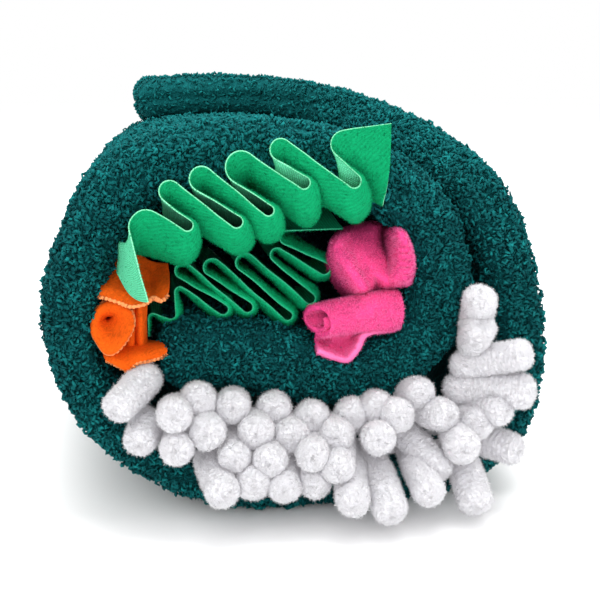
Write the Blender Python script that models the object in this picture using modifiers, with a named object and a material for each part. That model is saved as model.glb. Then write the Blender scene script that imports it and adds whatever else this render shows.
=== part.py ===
"""Snuffle mat, rolled up: a thick padded mat wound one and three quarter turns.

The roll lies on its side. Its axis runs along Y, with the front end facing -Y,
X to the right and Z up. Ruffled ribbons, felt, plush curls and white chenille
noodles are sewn on the inner face and show at the front end.
Tables are in millimetres, with the front end at y = 0, and are turned into metres
where they are read. MIDDLE then moves the origin to the middle of the footprint.
"""

import math

import bmesh
import bpy
from mathutils import Vector

MM = 0.001
MIDDLE = Vector((3.0, 99.26, 0.0)) * MM     # middle of the part's footprint in the tables

# ---- The padded mat ------------------------------------------------------

ROLL_LENGTH = 190 * MM      # width of the mat, which is the length of the roll
GAP = 0.35 * MM             # clearance kept between two pieces that touch
STEPS_PER_ROW = 2           # sections lofted between two rows of the table
SEAM_DEPTH = 1.4 * MM       # groove where the two covers are sewn and turned
END_ROUND = 6 * MM          # length over which a short end of the mat rounds off
BACK_NARROW = 0.065         # how much narrower the roll is at SQUEEZE_DEPTH
BACK_LOWER = 0.02           # how much lower it is there
SQUEEZE_DEPTH = 140 * MM

# The middle of the mat seen from the front, from its inner end to its free end.
# x, z: place of the middle; front: how far back the front edge lies;
# back: how far the back edge stands out past ROLL_LENGTH; thick: thickness.
# The roll is wound tighter at SQUEEZE_DEPTH, where the mat lies slide to the right
# and lift higher, and is swell thicker on its inner side.
MAT_ROWS = [
    dict(x=-41.5, z=51.0, front=0, back=0, slide=-6, lift=13, swell=0, thick=20.0),   # inner end
    dict(x=-29.0, z=50.8, front=0, back=0, slide=-5, lift=13, swell=0, thick=20.5),
    dict(x=-16.0, z=49.8, front=0, back=0, slide=-4, lift=13, swell=0, thick=21.0),
    dict(x=-4.0, z=46.0, front=0, back=0, slide=-2, lift=13, swell=0, thick=21.0),
    dict(x=9.0, z=43.2, front=0, back=0, slide=0, lift=12, swell=0, thick=20.0),
    dict(x=23.0, z=43.6, front=0, back=0, slide=0, lift=9, swell=0, thick=19.0),
    dict(x=35.5, z=48.5, front=0, back=0, slide=0, lift=6, swell=0, thick=19.0),
    dict(x=43.3, z=58.0, front=0, back=0, slide=0, lift=3, swell=0, thick=20.0),
    dict(x=46.2, z=69.0, front=0, back=0, slide=0, lift=0, swell=1, thick=20.0),
    dict(x=45.6, z=80.0, front=0, back=0, slide=0, lift=0, swell=3, thick=19.5),
    dict(x=41.0, z=91.0, front=0, back=0, slide=0, lift=0, swell=5, thick=18.5),
    dict(x=32.0, z=101.0, front=0, back=0, slide=0, lift=0, swell=7, thick=18.0),
    dict(x=19.0, z=108.0, front=0, back=0, slide=0, lift=0, swell=8, thick=18.0),
    dict(x=3.0, z=111.5, front=0, back=0, slide=0, lift=0, swell=8, thick=19.0),     # ceiling of the tunnel
    dict(x=-15.0, z=112.0, front=0, back=0, slide=0, lift=0, swell=8, thick=19.0),
    dict(x=-32.0, z=110.8, front=0, back=0, slide=0, lift=0, swell=8, thick=19.0),
    dict(x=-46.0, z=107.0, front=0, back=0, slide=0, lift=0, swell=8, thick=18.5),
    dict(x=-55.5, z=99.5, front=0, back=0, slide=0, lift=0, swell=8, thick=17.5),
    dict(x=-61.5, z=89.5, front=0, back=0, slide=0, lift=0, swell=7, thick=16.5),
    dict(x=-66.0, z=79.0, front=0, back=0, slide=0, lift=0, swell=6, thick=16.0),    # left wall
    dict(x=-68.5, z=68.5, front=0, back=0, slide=0, lift=0, swell=6, thick=15.0),
    dict(x=-68.7, z=58.0, front=0, back=0, slide=0, lift=0, swell=5, thick=14.5),
    dict(x=-66.2, z=47.0, front=0, back=0, slide=0, lift=0, swell=3.5, thick=14.5),
    dict(x=-60.8, z=36.0, front=0, back=0, slide=0, lift=0, swell=1, thick=15.0),
    dict(x=-52.0, z=26.0, front=0, back=0, slide=0, lift=0, swell=0, thick=15.5),
    dict(x=-40.5, z=17.5, front=0, back=0, slide=0, lift=0, swell=0, thick=16.0),
    dict(x=-27.0, z=11.2, front=0, back=0, slide=0, lift=0, swell=0, thick=16.0),
    dict(x=-12.0, z=8.0, front=0, back=0, slide=0, lift=0, swell=0, thick=16.0),     # flat spot it rests on
    dict(x=6.0, z=8.0, front=0, back=0, slide=0, lift=0, swell=0, thick=16.0),
    dict(x=24.0, z=8.0, front=0, back=0, slide=0, lift=0, swell=0, thick=16.0),
    dict(x=40.0, z=8.0, front=0, back=0, slide=0, lift=0, swell=0, thick=16.0),
    dict(x=54.0, z=10.8, front=0, back=0, slide=0, lift=0, swell=0, thick=16.0),
    dict(x=65.0, z=18.0, front=0, back=0, slide=0, lift=0, swell=0, thick=16.0),
    dict(x=71.8, z=29.0, front=0, back=0, slide=0, lift=0, swell=0, thick=16.0),
    dict(x=74.2, z=42.0, front=0, back=0, slide=0, lift=0, swell=0, thick=16.0),     # right wall
    dict(x=73.8, z=55.0, front=0, back=0, slide=0, lift=0, swell=0, thick=16.0),
    dict(x=71.8, z=67.0, front=0, back=0, slide=0, lift=0, swell=0, thick=16.0),
    dict(x=68.4, z=79.0, front=0, back=0, slide=0, lift=0, swell=0, thick=15.5),
    dict(x=64.0, z=91.0, front=0, back=0, slide=0, lift=0, swell=0, thick=15.5),
    dict(x=58.2, z=102.5, front=8, back=0, slide=0, lift=0, swell=0, thick=15.5),
    dict(x=50.6, z=112.8, front=34, back=4, slide=0, lift=0, swell=0, thick=15.5),
    dict(x=39.5, z=121.5, front=72, back=10, slide=0, lift=0, swell=0, thick=16.0),
    dict(x=25.5, z=127.0, front=108, back=18, slide=0, lift=0, swell=0, thick=16.0),
    dict(x=9.0, z=130.0, front=132, back=26, slide=0, lift=0, swell=0, thick=16.0),
    dict(x=-8.0, z=130.6, front=140, back=32, slide=0, lift=0, swell=0, thick=16.0),
    dict(x=-26.0, z=130.4, front=141, back=35, slide=0, lift=0, swell=0, thick=16.0),
    dict(x=-46.5, z=129.0, front=140, back=35, slide=0, lift=0, swell=0, thick=16.0),  # free end
]

# One edge of the mat: how far in from the edge, and which share of the half
# thickness the surface has there. The seam groove follows it.
EDGE_ROUND = [(0.0, 0.30), (1.2, 0.62), (3.6, 0.88), (8.0, 1.0)]

# Stations between the two rounded edges, as shares of the width.
SPAN_STATIONS = [0.33, 0.67]

# ---- Ribbons -------------------------------------------------------------

RIBBON_THICK = 0.9 * MM
ARC_STEP = math.radians(45)
ROWS_ACROSS = 3

# A ribbon's near edge runs round these loops in turn, clockwise on the upper
# ones and the other way on the lower ones, like a belt round pulleys.
# x, z, r: centre and radius; turn: -1 clockwise seen from the front;
# wx, wy, wz: from the near edge to the far edge of the ribbon there.
UPPER_RIBBON_Y = -13 * MM
UPPER_RIBBON_START = dict(x=-46.0, z=72.8, wx=-7, wy=15, wz=4)
UPPER_RIBBON_LOOPS = [
    dict(x=-45.9, z=94.3, r=4.6, turn=-1, wx=-1, wy=17, wz=-9),
    dict(x=-34.4, z=94.4, r=1.5, turn=1, wx=-1, wy=20, wz=-12),
    dict(x=-39.0, z=103.8, r=3.1, turn=-1, wx=0, wy=20, wz=-13),
    dict(x=-20.6, z=95.0, r=1.6, turn=1, wx=3, wy=20, wz=-14),
    dict(x=-30.0, z=107.2, r=3.5, turn=-1, wx=2.5, wy=20, wz=-15),
    dict(x=-11.4, z=98.0, r=1.6, turn=1, wx=3.5, wy=20, wz=-16.5),
    dict(x=-19.2, z=110.2, r=4.5, turn=-1, wx=5, wy=20, wz=-16),
    dict(x=-1.4, z=105.6, r=1.7, turn=1, wx=4.5, wy=19, wz=-18),
    dict(x=-7.8, z=115.0, r=3.1, turn=-1, wx=4, wy=18, wz=-16.8),
    dict(x=13.2, z=105.8, r=1.9, turn=1, wx=4, wy=16, wz=-19),
    dict(x=10.2, z=116.4, r=3.8, turn=-1, wx=5, wy=15, wz=-18.8),
]
UPPER_RIBBON_END = dict(x=23.8, z=122.0, wx=0, wy=8, wz=-27)

LOWER_RIBBON_Y = 9.5 * MM
LOWER_RIBBON_START = dict(x=-45.4, z=57.0, wx=0, wy=24, wz=4.5)
LOWER_RIBBON_LOOPS = [
    dict(x=-43.9, z=62.8, r=1.6, turn=-1, wx=0, wy=25, wz=4.5),
    dict(x=-38.4, z=63.8, r=1.4, turn=1, wx=0, wy=26, wz=4.5),
    dict(x=-35.6, z=70.8, r=1.8, turn=-1, wx=0, wy=26, wz=4.5),
    dict(x=-22.3, z=64.6, r=1.5, turn=1, wx=0, wy=26, wz=4.5),
    dict(x=-34.4, z=77.2, r=2.6, turn=-1, wx=0, wy=26, wz=4.5),
    dict(x=-14.8, z=65.0, r=1.5, turn=1, wx=0, wy=26, wz=4.5),
    dict(x=-25.4, z=78.0, r=2.7, turn=-1, wx=0, wy=26, wz=4.5),
    dict(x=-2.2, z=61.8, r=1.5, turn=1, wx=0, wy=26, wz=4.5),
    dict(x=-15.4, z=79.4, r=2.9, turn=-1, wx=0, wy=26, wz=4.5),
    dict(x=5.0, z=67.0, r=1.5, turn=1, wx=0, wy=26, wz=4.5),
    dict(x=-5.4, z=81.2, r=2.3, turn=-1, wx=0, wy=26, wz=4.5),
    dict(x=9.6, z=76.4, r=1.6, turn=1, wx=0, wy=26, wz=4.5),
    dict(x=-2.2, z=87.4, r=2.7, turn=-1, wx=0, wy=26, wz=4.5),
]
LOWER_RIBBON_END = dict(x=11.4, z=89.0, wx=-1, wy=26, wz=4.5)

# ---- Felt and plush ------------------------------------------------------

FELT_THICK = 1.5 * MM
PLUSH_THICK = 2.6 * MM

# A sheet between two lines of points, its near line and its far line.
FELT_LEAF_NEAR = [(-58.0, 2, 73.0), (-54.6, 0, 70.3), (-49.5, -1, 69.0), (-43.5, -1, 69.4), (-39.6, 0, 71.8)]
FELT_LEAF_FAR = [(-55.4, 15, 77.6), (-51.9, 17, 79.4), (-48.0, 18, 80.6), (-43.5, 18, 80.2), (-40.0, 17, 79.2)]
FELT_TONGUE_NEAR = [(-58.8, -1, 51.8), (-53.0, -3, 48.9), (-50.0, -3, 49.4), (-47.0, -2, 51.0), (-44.6, 0, 53.0)]
FELT_TONGUE_FAR = [(-59.0, 14, 54.0), (-54.8, 15, 53.0), (-52.6, 16, 53.2), (-50.4, 16, 54.4), (-48.5, 16, 56.2)]

CUP_CENTRE = (-56.2, 4.0, 62.2)
CUP_HALF_WIDTH = 6.2
CUP_HALF_HEIGHT = 7.6
CUP_DEPTH = 5.5
CUP_SIDES = 14

PLUSH_CURL_NEAR = [(14.4, 3, 82.4), (16.0, 1, 78.8), (18.6, 0, 74.8), (22.8, -1, 72.8), (27.8, -1, 73.2),
                   (31.9, 0, 75.4), (33.5, 0, 79.0), (32.9, 1, 82.8), (30.1, 2, 86.0), (26.8, 4, 85.2)]
PLUSH_CURL_FAR = [(16.0, 13, 85.4), (17.0, 17, 85.2), (20.0, 19, 84.0), (22.8, 21, 83.0), (25.8, 21, 82.8),
                  (28.2, 21, 83.4), (29.4, 21, 85.0), (28.8, 20, 87.0), (26.6, 19, 88.2), (23.8, 18, 87.4)]

# The plush roll seen from its left end: y and z of its turns, which run to the
# right by PLUSH_ROLL_RUN.
PLUSH_ROLL_LEFT = 4.2
PLUSH_ROLL_RUN = (25.5, 1.0, 0.3)
PLUSH_ROLL_TURNS = [(1.4, 62.6), (-1.4, 61.8), (-3.4, 63.8), (-2.2, 66.6), (1.0, 67.6), (4.4, 65.8), (5.8, 62.2),
                    (5.0, 58.6), (1.6, 56.5), (-2.6, 55.8), (-5.6, 53.2)]

# ---- Noodles -------------------------------------------------------------

NOODLE_HALF = 4.3           # half the side of a noodle's square section
STRIP_THICK = 0.8
STRIP_DEPTH = 4.4
ROOT_HALF = 3.2             # half the width of a noodle where it leaves its strip
MOUTH_OUT = 1               # how far out of the roll's end the noodles start to spread
DEEP_STRIP = 8              # strips deeper than this send their noodles over the others
NOODLE_GROUPS = [
    # name: the strip; count: noodles on it; depth: how far in the strip is sewn;
    # first, last: rows of MAT_ROWS between which it lies on the inner face;
    # mouth and tip: x and z of the first and the last noodle where they leave the
    # roll and at their tips; reach: how far the tips stand out past the end;
    # level: 1 where they turn level on their way out, 0 where they keep to the wall.
    dict(name="noodles_floor_left", count=4, depth=3, first=26.2, last=28.1, level=1,
         mouth=((-26.0, 21.6), (9.0, 19.2)), tip=((-30.0, 14.2), (5.5, 12.2)), reach=23),
    dict(name="noodles_floor_right", count=4, depth=3, first=28.9, last=30.7, level=1,
         mouth=((19.5, 19.2), (50.0, 21.6)), tip=((17.8, 9.6), (54.5, 7.6)), reach=25),
    dict(name="noodles_low_left", count=4, depth=12, first=25.9, last=27.8, level=1,
         mouth=((-32.5, 28.4), (3.0, 24.0)), tip=((-37.5, 26.0), (1.0, 23.6)), reach=21),
    dict(name="noodles_low_right", count=4, depth=12, first=28.5, last=30.8, level=1,
         mouth=((13.5, 24.0), (50.0, 26.6)), tip=((12.6, 21.8), (56.5, 20.6)), reach=22),
    dict(name="noodles_high_left", count=4, depth=21, first=25.9, last=27.6, level=1,
         mouth=((-37.0, 34.8), (-3.0, 29.4)), tip=((-42.5, 36.6), (-3.5, 34.2)), reach=17),
    dict(name="noodles_high_right", count=4, depth=21, first=28.2, last=30.3, level=1,
         mouth=((8.0, 28.6), (45.0, 31.6)), tip=((8.4, 32.6), (50.0, 31.6)), reach=17),
    dict(name="noodles_top_left", count=3, depth=30, first=25.9, last=27.4, level=1,
         mouth=((-31.0, 40.8), (-9.0, 35.3)), tip=((-32.0, 46.0), (-9.8, 43.6)), reach=12),
    dict(name="noodles_top_right", count=4, depth=30, first=27.9, last=30.0, level=1,
         mouth=((2.0, 33.4), (38.0, 37.0)), tip=((1.6, 42.0), (42.5, 41.6)), reach=12),
    dict(name="noodles_side_right", count=4, depth=12, first=32.0, last=34.7, level=0,
         mouth=((58.0, 28.0), (59.2, 53.0)), tip=((68.5, 24.6), (70.0, 59.0)), reach=15),
    dict(name="noodle_upright", count=1, depth=12, first=35.6, last=35.6, level=0,
         mouth=((58.8, 61.0), (58.8, 61.0)), tip=((51.8, 73.0), (51.8, 73.0)), reach=12),
    dict(name="noodles_side_left", count=2, depth=12, first=23.2, last=24.3, level=0,
         mouth=((-51.0, 42.6), (-46.4, 33.4)), tip=((-59.6, 40.0), (-51.6, 27.0)), reach=15),
]
BACK_NOODLES = dict(name="noodles_back", count=6, depth=3, first=26.6, last=30.2, level=1,
                    mouth=((-22.0, 22.0), (40.0, 22.0)), tip=((-23.0, 22.0), (42.0, 22.0)), reach=9)


def start():
    """Remove what the scene holds and make the part's collection."""
    for old in list(bpy.data.objects):
        bpy.data.objects.remove(old, do_unlink=True)
    home = bpy.data.collections.new("snuffle_mat")
    bpy.context.scene.collection.children.link(home)
    return home


def cloth(name, colour, roughness):
    """A plain cloth material of the piece's own colour."""
    made = bpy.data.materials.new(name)
    made.use_nodes = True
    shader = made.node_tree.nodes["Principled BSDF"]
    shader.inputs["Base Color"].default_value = (*colour, 1.0)
    shader.inputs["Roughness"].default_value = roughness
    shader.inputs["Metallic"].default_value = 0.0
    made.diffuse_color = (*colour, 1.0)
    return made


def add_object(home, name, bm, material):
    """Put a bmesh into the collection as a named object with its material."""
    mesh = bpy.data.meshes.new(name)
    bmesh.ops.translate(bm, verts=bm.verts, vec=-MIDDLE)
    bm.to_mesh(mesh)
    bm.free()
    mesh.materials.append(material)
    mesh.shade_smooth()
    mesh.set_sharp_from_angle(angle=math.radians(50))
    made = bpy.data.objects.new(name, mesh)
    home.objects.link(made)
    return made


def blend_rows(rows, place):
    """Values of a table's columns at a place between its rows, on a smooth curve."""
    last = len(rows) - 1
    row = min(int(place), last - 1)
    t = place - row
    picks = [max(row - 1, 0), row, row + 1, min(row + 2, last)]
    weights = [
        0.5 * (-t + 2 * t**2 - t**3),
        0.5 * (2 - 5 * t**2 + 3 * t**3),
        0.5 * (t + 4 * t**2 - 3 * t**3),
        0.5 * (t**3 - t**2),
    ]
    return {key: sum(w * rows[p][key] for w, p in zip(weights, picks)) for key in rows[0]}


def mat_frame(place):
    """The mat's middle at a place in the table: point, run and outward direction."""
    here = blend_rows(MAT_ROWS, place)
    step = 0.02
    last = len(MAT_ROWS) - 1
    before = blend_rows(MAT_ROWS, max(place - step, 0))
    after = blend_rows(MAT_ROWS, min(place + step, last))
    run = Vector((after["x"] - before["x"], 0, after["z"] - before["z"])).normalized()
    outward = Vector((run.z, 0, -run.x))
    middle = Vector((here["x"], 0, here["z"])) * MM
    return here, middle, run, outward


def squeeze(point, here):
    """The roll is narrower and lower towards the back, and tighter inside."""
    share = point.y / SQUEEZE_DEPTH
    return Vector((
        point.x * (1 - BACK_NARROW * share) + here["slide"] * MM * share,
        point.y,
        max(point.z * (1 - BACK_LOWER * share) + here["lift"] * MM * share, 0.0),
    ))


def mat_profile(half, front, back):
    """Section across the mat as (offset outward, y) pairs, from the front seam round."""
    edge = []
    for inward, share in EDGE_ROUND:
        edge.append((share * half, inward * MM))
    groove = SEAM_DEPTH
    outer = [(offset, front + inward) for offset, inward in edge]
    outer += [(half, front + (back - front) * share) for share in SPAN_STATIONS]
    outer += [(offset, back - inward) for offset, inward in reversed(edge)]
    inner = [(-offset, y) for offset, y in reversed(outer)]
    return [(0.0, front + groove)] + outer + [(0.0, back - groove)] + inner


def mat_ring(place, shift=0.0, thin=1.0, shorten=0.0):
    """The mat's section at a place, moved along its run and thinned for an end."""
    here, middle, run, outward = mat_frame(place)
    half = 0.5 * here["thick"] * MM * thin
    front = here["front"] * MM + shorten
    back = ROLL_LENGTH + here["back"] * MM - shorten
    ring = []
    for offset, y in mat_profile(half, front, back):
        if offset < 0:
            offset *= 1 + here["swell"] * MM / (0.5 * here["thick"] * MM) * y / SQUEEZE_DEPTH
        point = middle + run * shift + outward * offset
        point.y = y
        ring.append(squeeze(point, here))
    return ring


def loft(rings):
    """A closed body through like rings of points, with a flat face at each end."""
    bm = bmesh.new()
    loops = [[bm.verts.new(point) for point in ring] for ring in rings]
    for one, two in zip(loops, loops[1:]):
        for i in range(len(one)):
            j = (i + 1) % len(one)
            bm.faces.new((one[i], one[j], two[j], two[i]))
    bm.faces.new(reversed(loops[0]))
    bm.faces.new(loops[-1])
    bmesh.ops.recalc_face_normals(bm, faces=bm.faces)
    return bm


def end_rings(place, direction):
    """Rings that round off a short end of the mat and sink its seam."""
    rings = []
    for angle in (25, 50, 75):
        turn = math.radians(angle)
        thin = 0.25 + 0.75 * math.cos(turn)
        rings.append(mat_ring(place, direction * END_ROUND * (math.sin(turn) - 1), thin,
                              END_ROUND * 0.5 * (1 - math.cos(turn))))
    rings.append(mat_ring(place, direction * (-SEAM_DEPTH), 0.12, END_ROUND * 0.6))
    return rings


def add_mat(home, material):
    """The padded mat as one wound solid."""
    last = len(MAT_ROWS) - 1
    count = last * STEPS_PER_ROW
    rings = list(reversed(end_rings(0, -1)))
    for step in range(1, count):
        rings.append(mat_ring(step / STEPS_PER_ROW))
    rings += end_rings(last, 1)
    return add_object(home, "mat", loft(rings), material)


def serpentine(start_point, loops, end_point, edge_y):
    """Near edge and far edge of a ruffle that runs round its loops in turn."""
    stops = [dict(start_point, r=0.0, turn=1)] + loops + [dict(end_point, r=0.0, turn=1)]
    headings = []
    for one, two in zip(stops, stops[1:]):
        dx, dz = two["x"] - one["x"], two["z"] - one["z"]
        side = one["turn"] * one["r"] - two["turn"] * two["r"]
        headings.append(math.atan2(dz, dx) + math.asin(side / math.hypot(dx, dz)))
    near, reach = [], []

    def put(stop, heading):
        offset = stop["turn"] * stop["r"]
        near.append(Vector((
            (stop["x"] + offset * math.sin(heading)) * MM,
            edge_y,
            (stop["z"] - offset * math.cos(heading)) * MM,
        )))
        reach.append(Vector((stop["wx"], stop["wy"], stop["wz"])) * MM)

    put(stops[0], headings[0])
    for stop, came, leaves in zip(stops[1:-1], headings, headings[1:]):
        sweep = (leaves - came) % (2 * math.pi)
        if stop["turn"] < 0:
            sweep -= 2 * math.pi
        count = max(2, round(abs(sweep) / ARC_STEP))
        for i in range(count + 1):
            put(stop, came + sweep * i / count)
    put(stops[-1], headings[-1])
    return near, [point + w for point, w in zip(near, reach)]


def sheet_between(near, far, rows):
    """An open sheet whose rows of points lead from one line to the other."""
    bm = bmesh.new()
    lines = []
    for row in range(rows):
        share = row / (rows - 1)
        lines.append([bm.verts.new(one.lerp(two, share)) for one, two in zip(near, far)])
    for one, two in zip(lines, lines[1:]):
        for i in range(len(one) - 1):
            bm.faces.new((one[i], one[i + 1], two[i + 1], two[i]))
    return bm


def add_sheet(home, name, near, far, thick, material, rows=ROWS_ACROSS):
    """A thin sheet given its thickness by Solidify, half to each side."""
    made = add_object(home, name, sheet_between(near, far, rows), material)
    shell = made.modifiers.new("thickness", "SOLIDIFY")
    shell.thickness = thick
    shell.offset = 0.0
    shell.use_even_offset = True
    return made


def points_mm(rows):
    """Points of a table of (x, y, z) rows in metres."""
    return [Vector(row) * MM for row in rows]


def add_ribbons(home, material):
    """The two ruffled ribbons in the mouth of the tunnel."""
    near, far = serpentine(UPPER_RIBBON_START, UPPER_RIBBON_LOOPS, UPPER_RIBBON_END, UPPER_RIBBON_Y)
    add_sheet(home, "ribbon_upper", near, far, RIBBON_THICK, material)
    near, far = serpentine(LOWER_RIBBON_START, LOWER_RIBBON_LOOPS, LOWER_RIBBON_END, LOWER_RIBBON_Y)
    add_sheet(home, "ribbon_lower", near, far, RIBBON_THICK, material)


def add_felt(home, material):
    """Two felt leaves and a felt cup against the left wall of the tunnel."""
    add_sheet(home, "felt_leaf", points_mm(FELT_LEAF_NEAR), points_mm(FELT_LEAF_FAR), FELT_THICK, material)
    add_sheet(home, "felt_tongue", points_mm(FELT_TONGUE_NEAR), points_mm(FELT_TONGUE_FAR), FELT_THICK, material)
    bm = bmesh.new()
    bmesh.ops.create_circle(bm, cap_ends=True, segments=CUP_SIDES, radius=1.0)
    bmesh.ops.inset_region(bm, faces=bm.faces, thickness=0.3)
    middle = [face for face in bm.faces if len(face.verts) == CUP_SIDES]
    bmesh.ops.inset_region(bm, faces=middle, thickness=0.35)
    middle = [face for face in bm.faces if len(face.verts) == CUP_SIDES]
    bmesh.ops.poke(bm, faces=middle)
    for vert in bm.verts:
        away = min(vert.co.length, 1.0)
        x, z = vert.co.x, vert.co.y
        vert.co = Vector((
            CUP_CENTRE[0] + x * CUP_HALF_WIDTH,
            CUP_CENTRE[1] + CUP_DEPTH * (1 - away**2) + 2.0 * x,
            CUP_CENTRE[2] + z * CUP_HALF_HEIGHT,
        )) * MM
    made = add_object(home, "felt_cup", bm, material)
    shell = made.modifiers.new("thickness", "SOLIDIFY")
    shell.thickness = FELT_THICK
    shell.offset = 0.0


def add_plush(home, material):
    """The plush curl and the plush roll against the right wall of the tunnel."""
    add_sheet(home, "plush_curl", points_mm(PLUSH_CURL_NEAR), points_mm(PLUSH_CURL_FAR), PLUSH_THICK, material)
    left = points_mm([(PLUSH_ROLL_LEFT, y, z) for y, z in PLUSH_ROLL_TURNS])
    right = [point + Vector(PLUSH_ROLL_RUN) * MM for point in left]
    add_sheet(home, "plush_roll", left, right, PLUSH_THICK, material, rows=4)


def inner_face(place, height, y):
    """A point over the mat's inner face, and the run and inward directions there."""
    here, middle, run, outward = mat_frame(place)
    inward = -outward
    point = middle + inward * (0.5 * here["thick"] * MM + height)
    point.y = y
    return squeeze(point, here), run, inward


def strip_and_noodles(group, edge, out):
    """A narrow backing strip with its noodles drawn out of its own faces.

    edge is the y of the end of the roll that they come out of, and out is -1
    at the front end and 1 at the back end."""
    near_end = edge - out * group["depth"] * MM
    far_end = near_end - out * STRIP_DEPTH * MM
    top = GAP + STRIP_THICK * MM
    bm = bmesh.new()
    rings = []
    for i in range(group["count"]):
        place = group["first"] + (group["last"] - group["first"]) * i / max(group["count"] - 1, 1)
        per_row = (mat_frame(place + 0.5)[1] - mat_frame(place - 0.5)[1]).length
        half = ROOT_HALF * MM / per_row
        for station in (place - half, place + half):
            corners = ((GAP, near_end), (GAP, far_end), (top, far_end), (top, near_end))
            rings.append([bm.verts.new(inner_face(station, height, y)[0]) for height, y in corners])
    tops = []
    for index, (one, two) in enumerate(zip(rings, rings[1:])):
        for i in range(4):
            j = (i + 1) % 4
            face = bm.faces.new((one[i], one[j], two[j], two[i]))
            if i == 2 and index % 2 == 0:
                tops.append((face, (one[3], two[3], two[2], one[2])))
    bm.faces.new(reversed(rings[0]))
    bm.faces.new(rings[-1])
    for i, (face, corners) in enumerate(tops):
        share = i / max(len(tops) - 1, 1)
        place = group["first"] + (group["last"] - group["first"]) * share
        stops = noodle_stops(group, corners, share, edge, out)
        draw_noodle(bm, face, corners, stops, inner_face(place, 0, edge), group["level"])
    bmesh.ops.recalc_face_normals(bm, faces=bm.faces)
    return bm


def between(ends, share, y):
    """A point at a share of the way between two (x, z) ends, at a given y."""
    (x0, z0), (x1, z1) = ends
    return Vector(((x0 + (x1 - x0) * share) * MM, y, (z0 + (z1 - z0) * share) * MM))


def noodle_stops(group, corners, share, edge, out):
    """A noodle's route: its root, then points with half its width and height there."""
    tip = between(group["tip"], share, edge + out * group["reach"] * MM)
    mouth = between(group["mouth"], share, edge + out * MOUTH_OUT * MM)
    root = sum((corner.co for corner in corners), Vector()) / 4
    ahead = tip - mouth
    stops = [(root, 0, 0)]
    if group["depth"] > DEEP_STRIP:
        stops.append((root.lerp(mouth, 0.62), 3.3, 1.2))
    stops.append((mouth, 3.6, 1.5))
    stops.append((mouth + ahead * 0.40, 4.0, 2.5))
    stops.append((mouth + ahead * 0.68, NOODLE_HALF, 3.6))
    stops.append((tip - ahead.normalized() * 2.5 * MM, NOODLE_HALF, 4.1))
    stops.append((tip, NOODLE_HALF * 0.6, 2.6))
    return stops


def draw_noodle(bm, face, corners, stops, seat, level):
    """Draw one strand of four sides out of a face of its strip, ring by ring."""
    _, wall_run, inward = seat
    loop = corners
    old = face
    for index in range(1, len(stops)):
        run = wall_run.lerp(Vector((1, 0, 0)), level * min(index / 2, 1))
        centre, half_wide, half_high = stops[index]
        after = stops[min(index + 1, len(stops) - 1)][0]
        along = (after - stops[index - 1][0]).normalized()
        side = (run - along * run.dot(along)).normalized()
        high = along.cross(side)
        if high.dot(inward) < 0:
            high.negate()
        wide = side * half_wide * MM
        tall = high * half_high * MM
        points = (centre - wide - tall, centre + wide - tall, centre + wide + tall, centre - wide + tall)
        bm.faces.remove(old)
        new = [bm.verts.new(point) for point in points]
        for i in range(4):
            j = (i + 1) % 4
            bm.faces.new((loop[i], loop[j], new[j], new[i]))
        old = bm.faces.new(new)
        loop = new


def add_noodles(home, material):
    """White chenille noodles between the turns of the mat."""
    for group in NOODLE_GROUPS:
        add_object(home, group["name"], strip_and_noodles(group, 0.0, -1), material)
    add_object(home, BACK_NOODLES["name"], strip_and_noodles(BACK_NOODLES, ROLL_LENGTH, 1), material)


def main():
    home = start()
    add_mat(home, cloth("boucle_teal", (0.005, 0.085, 0.08), 0.95))
    add_ribbons(home, cloth("ribbon_green", (0.01, 0.36, 0.13), 0.7))
    add_felt(home, cloth("felt_orange", (0.9, 0.12, 0.01), 0.9))
    add_plush(home, cloth("plush_pink", (0.75, 0.03, 0.2), 0.85))
    add_noodles(home, cloth("chenille_white", (0.8, 0.79, 0.82), 0.9))


main()
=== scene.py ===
"""Snuffle mat, rolled up: the looks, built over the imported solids.

Tables are in millimetres with the roll's front end at y = 0; MIDDLE moves them to
the solids' own origin. X runs to the right, Y towards the back, Z up.
"""

import math

import bmesh
import bpy
import numpy as np
from mathutils import Matrix, Vector, noise


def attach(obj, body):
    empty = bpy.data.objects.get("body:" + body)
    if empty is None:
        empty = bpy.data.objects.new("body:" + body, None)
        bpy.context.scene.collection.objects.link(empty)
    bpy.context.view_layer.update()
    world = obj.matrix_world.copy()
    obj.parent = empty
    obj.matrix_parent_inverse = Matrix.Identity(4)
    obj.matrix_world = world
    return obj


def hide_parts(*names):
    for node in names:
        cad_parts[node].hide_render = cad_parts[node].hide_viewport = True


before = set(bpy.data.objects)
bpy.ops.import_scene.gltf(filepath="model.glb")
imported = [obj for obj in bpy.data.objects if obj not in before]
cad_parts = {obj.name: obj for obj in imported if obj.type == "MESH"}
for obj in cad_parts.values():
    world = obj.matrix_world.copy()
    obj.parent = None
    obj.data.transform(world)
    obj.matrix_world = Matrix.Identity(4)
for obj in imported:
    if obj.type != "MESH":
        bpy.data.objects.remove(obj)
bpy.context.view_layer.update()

bl_info = {
    "name": "Rolled snuffle mat",
    "version": (1, 0, 0),
    "blender": (4, 5, 0),
    "location": "View3D > Sidebar > Snuffle mat",
    "description": "Builds a rolled snuffle mat with its pile, ruffles, felt, plush and noodles",
    "category": "Add Mesh",
}

MM = 0.001
MIDDLE = np.array((3.0, 99.26, 0.0))        # millimetres
ROLL_LENGTH = 190.0
END_ROUND = 6.0             # radius of the mat's rounded ends
SEAM_DEPTH = 1.4            # how far in the seam lies at an end
SQUEEZE_DEPTH = 140.0       # depth at which the roll is narrower and lower by:
BACK_NARROW = 0.065
BACK_LOWER = 0.02
MERGE = 0.00002             # metres within which doubled places are merged

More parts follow.
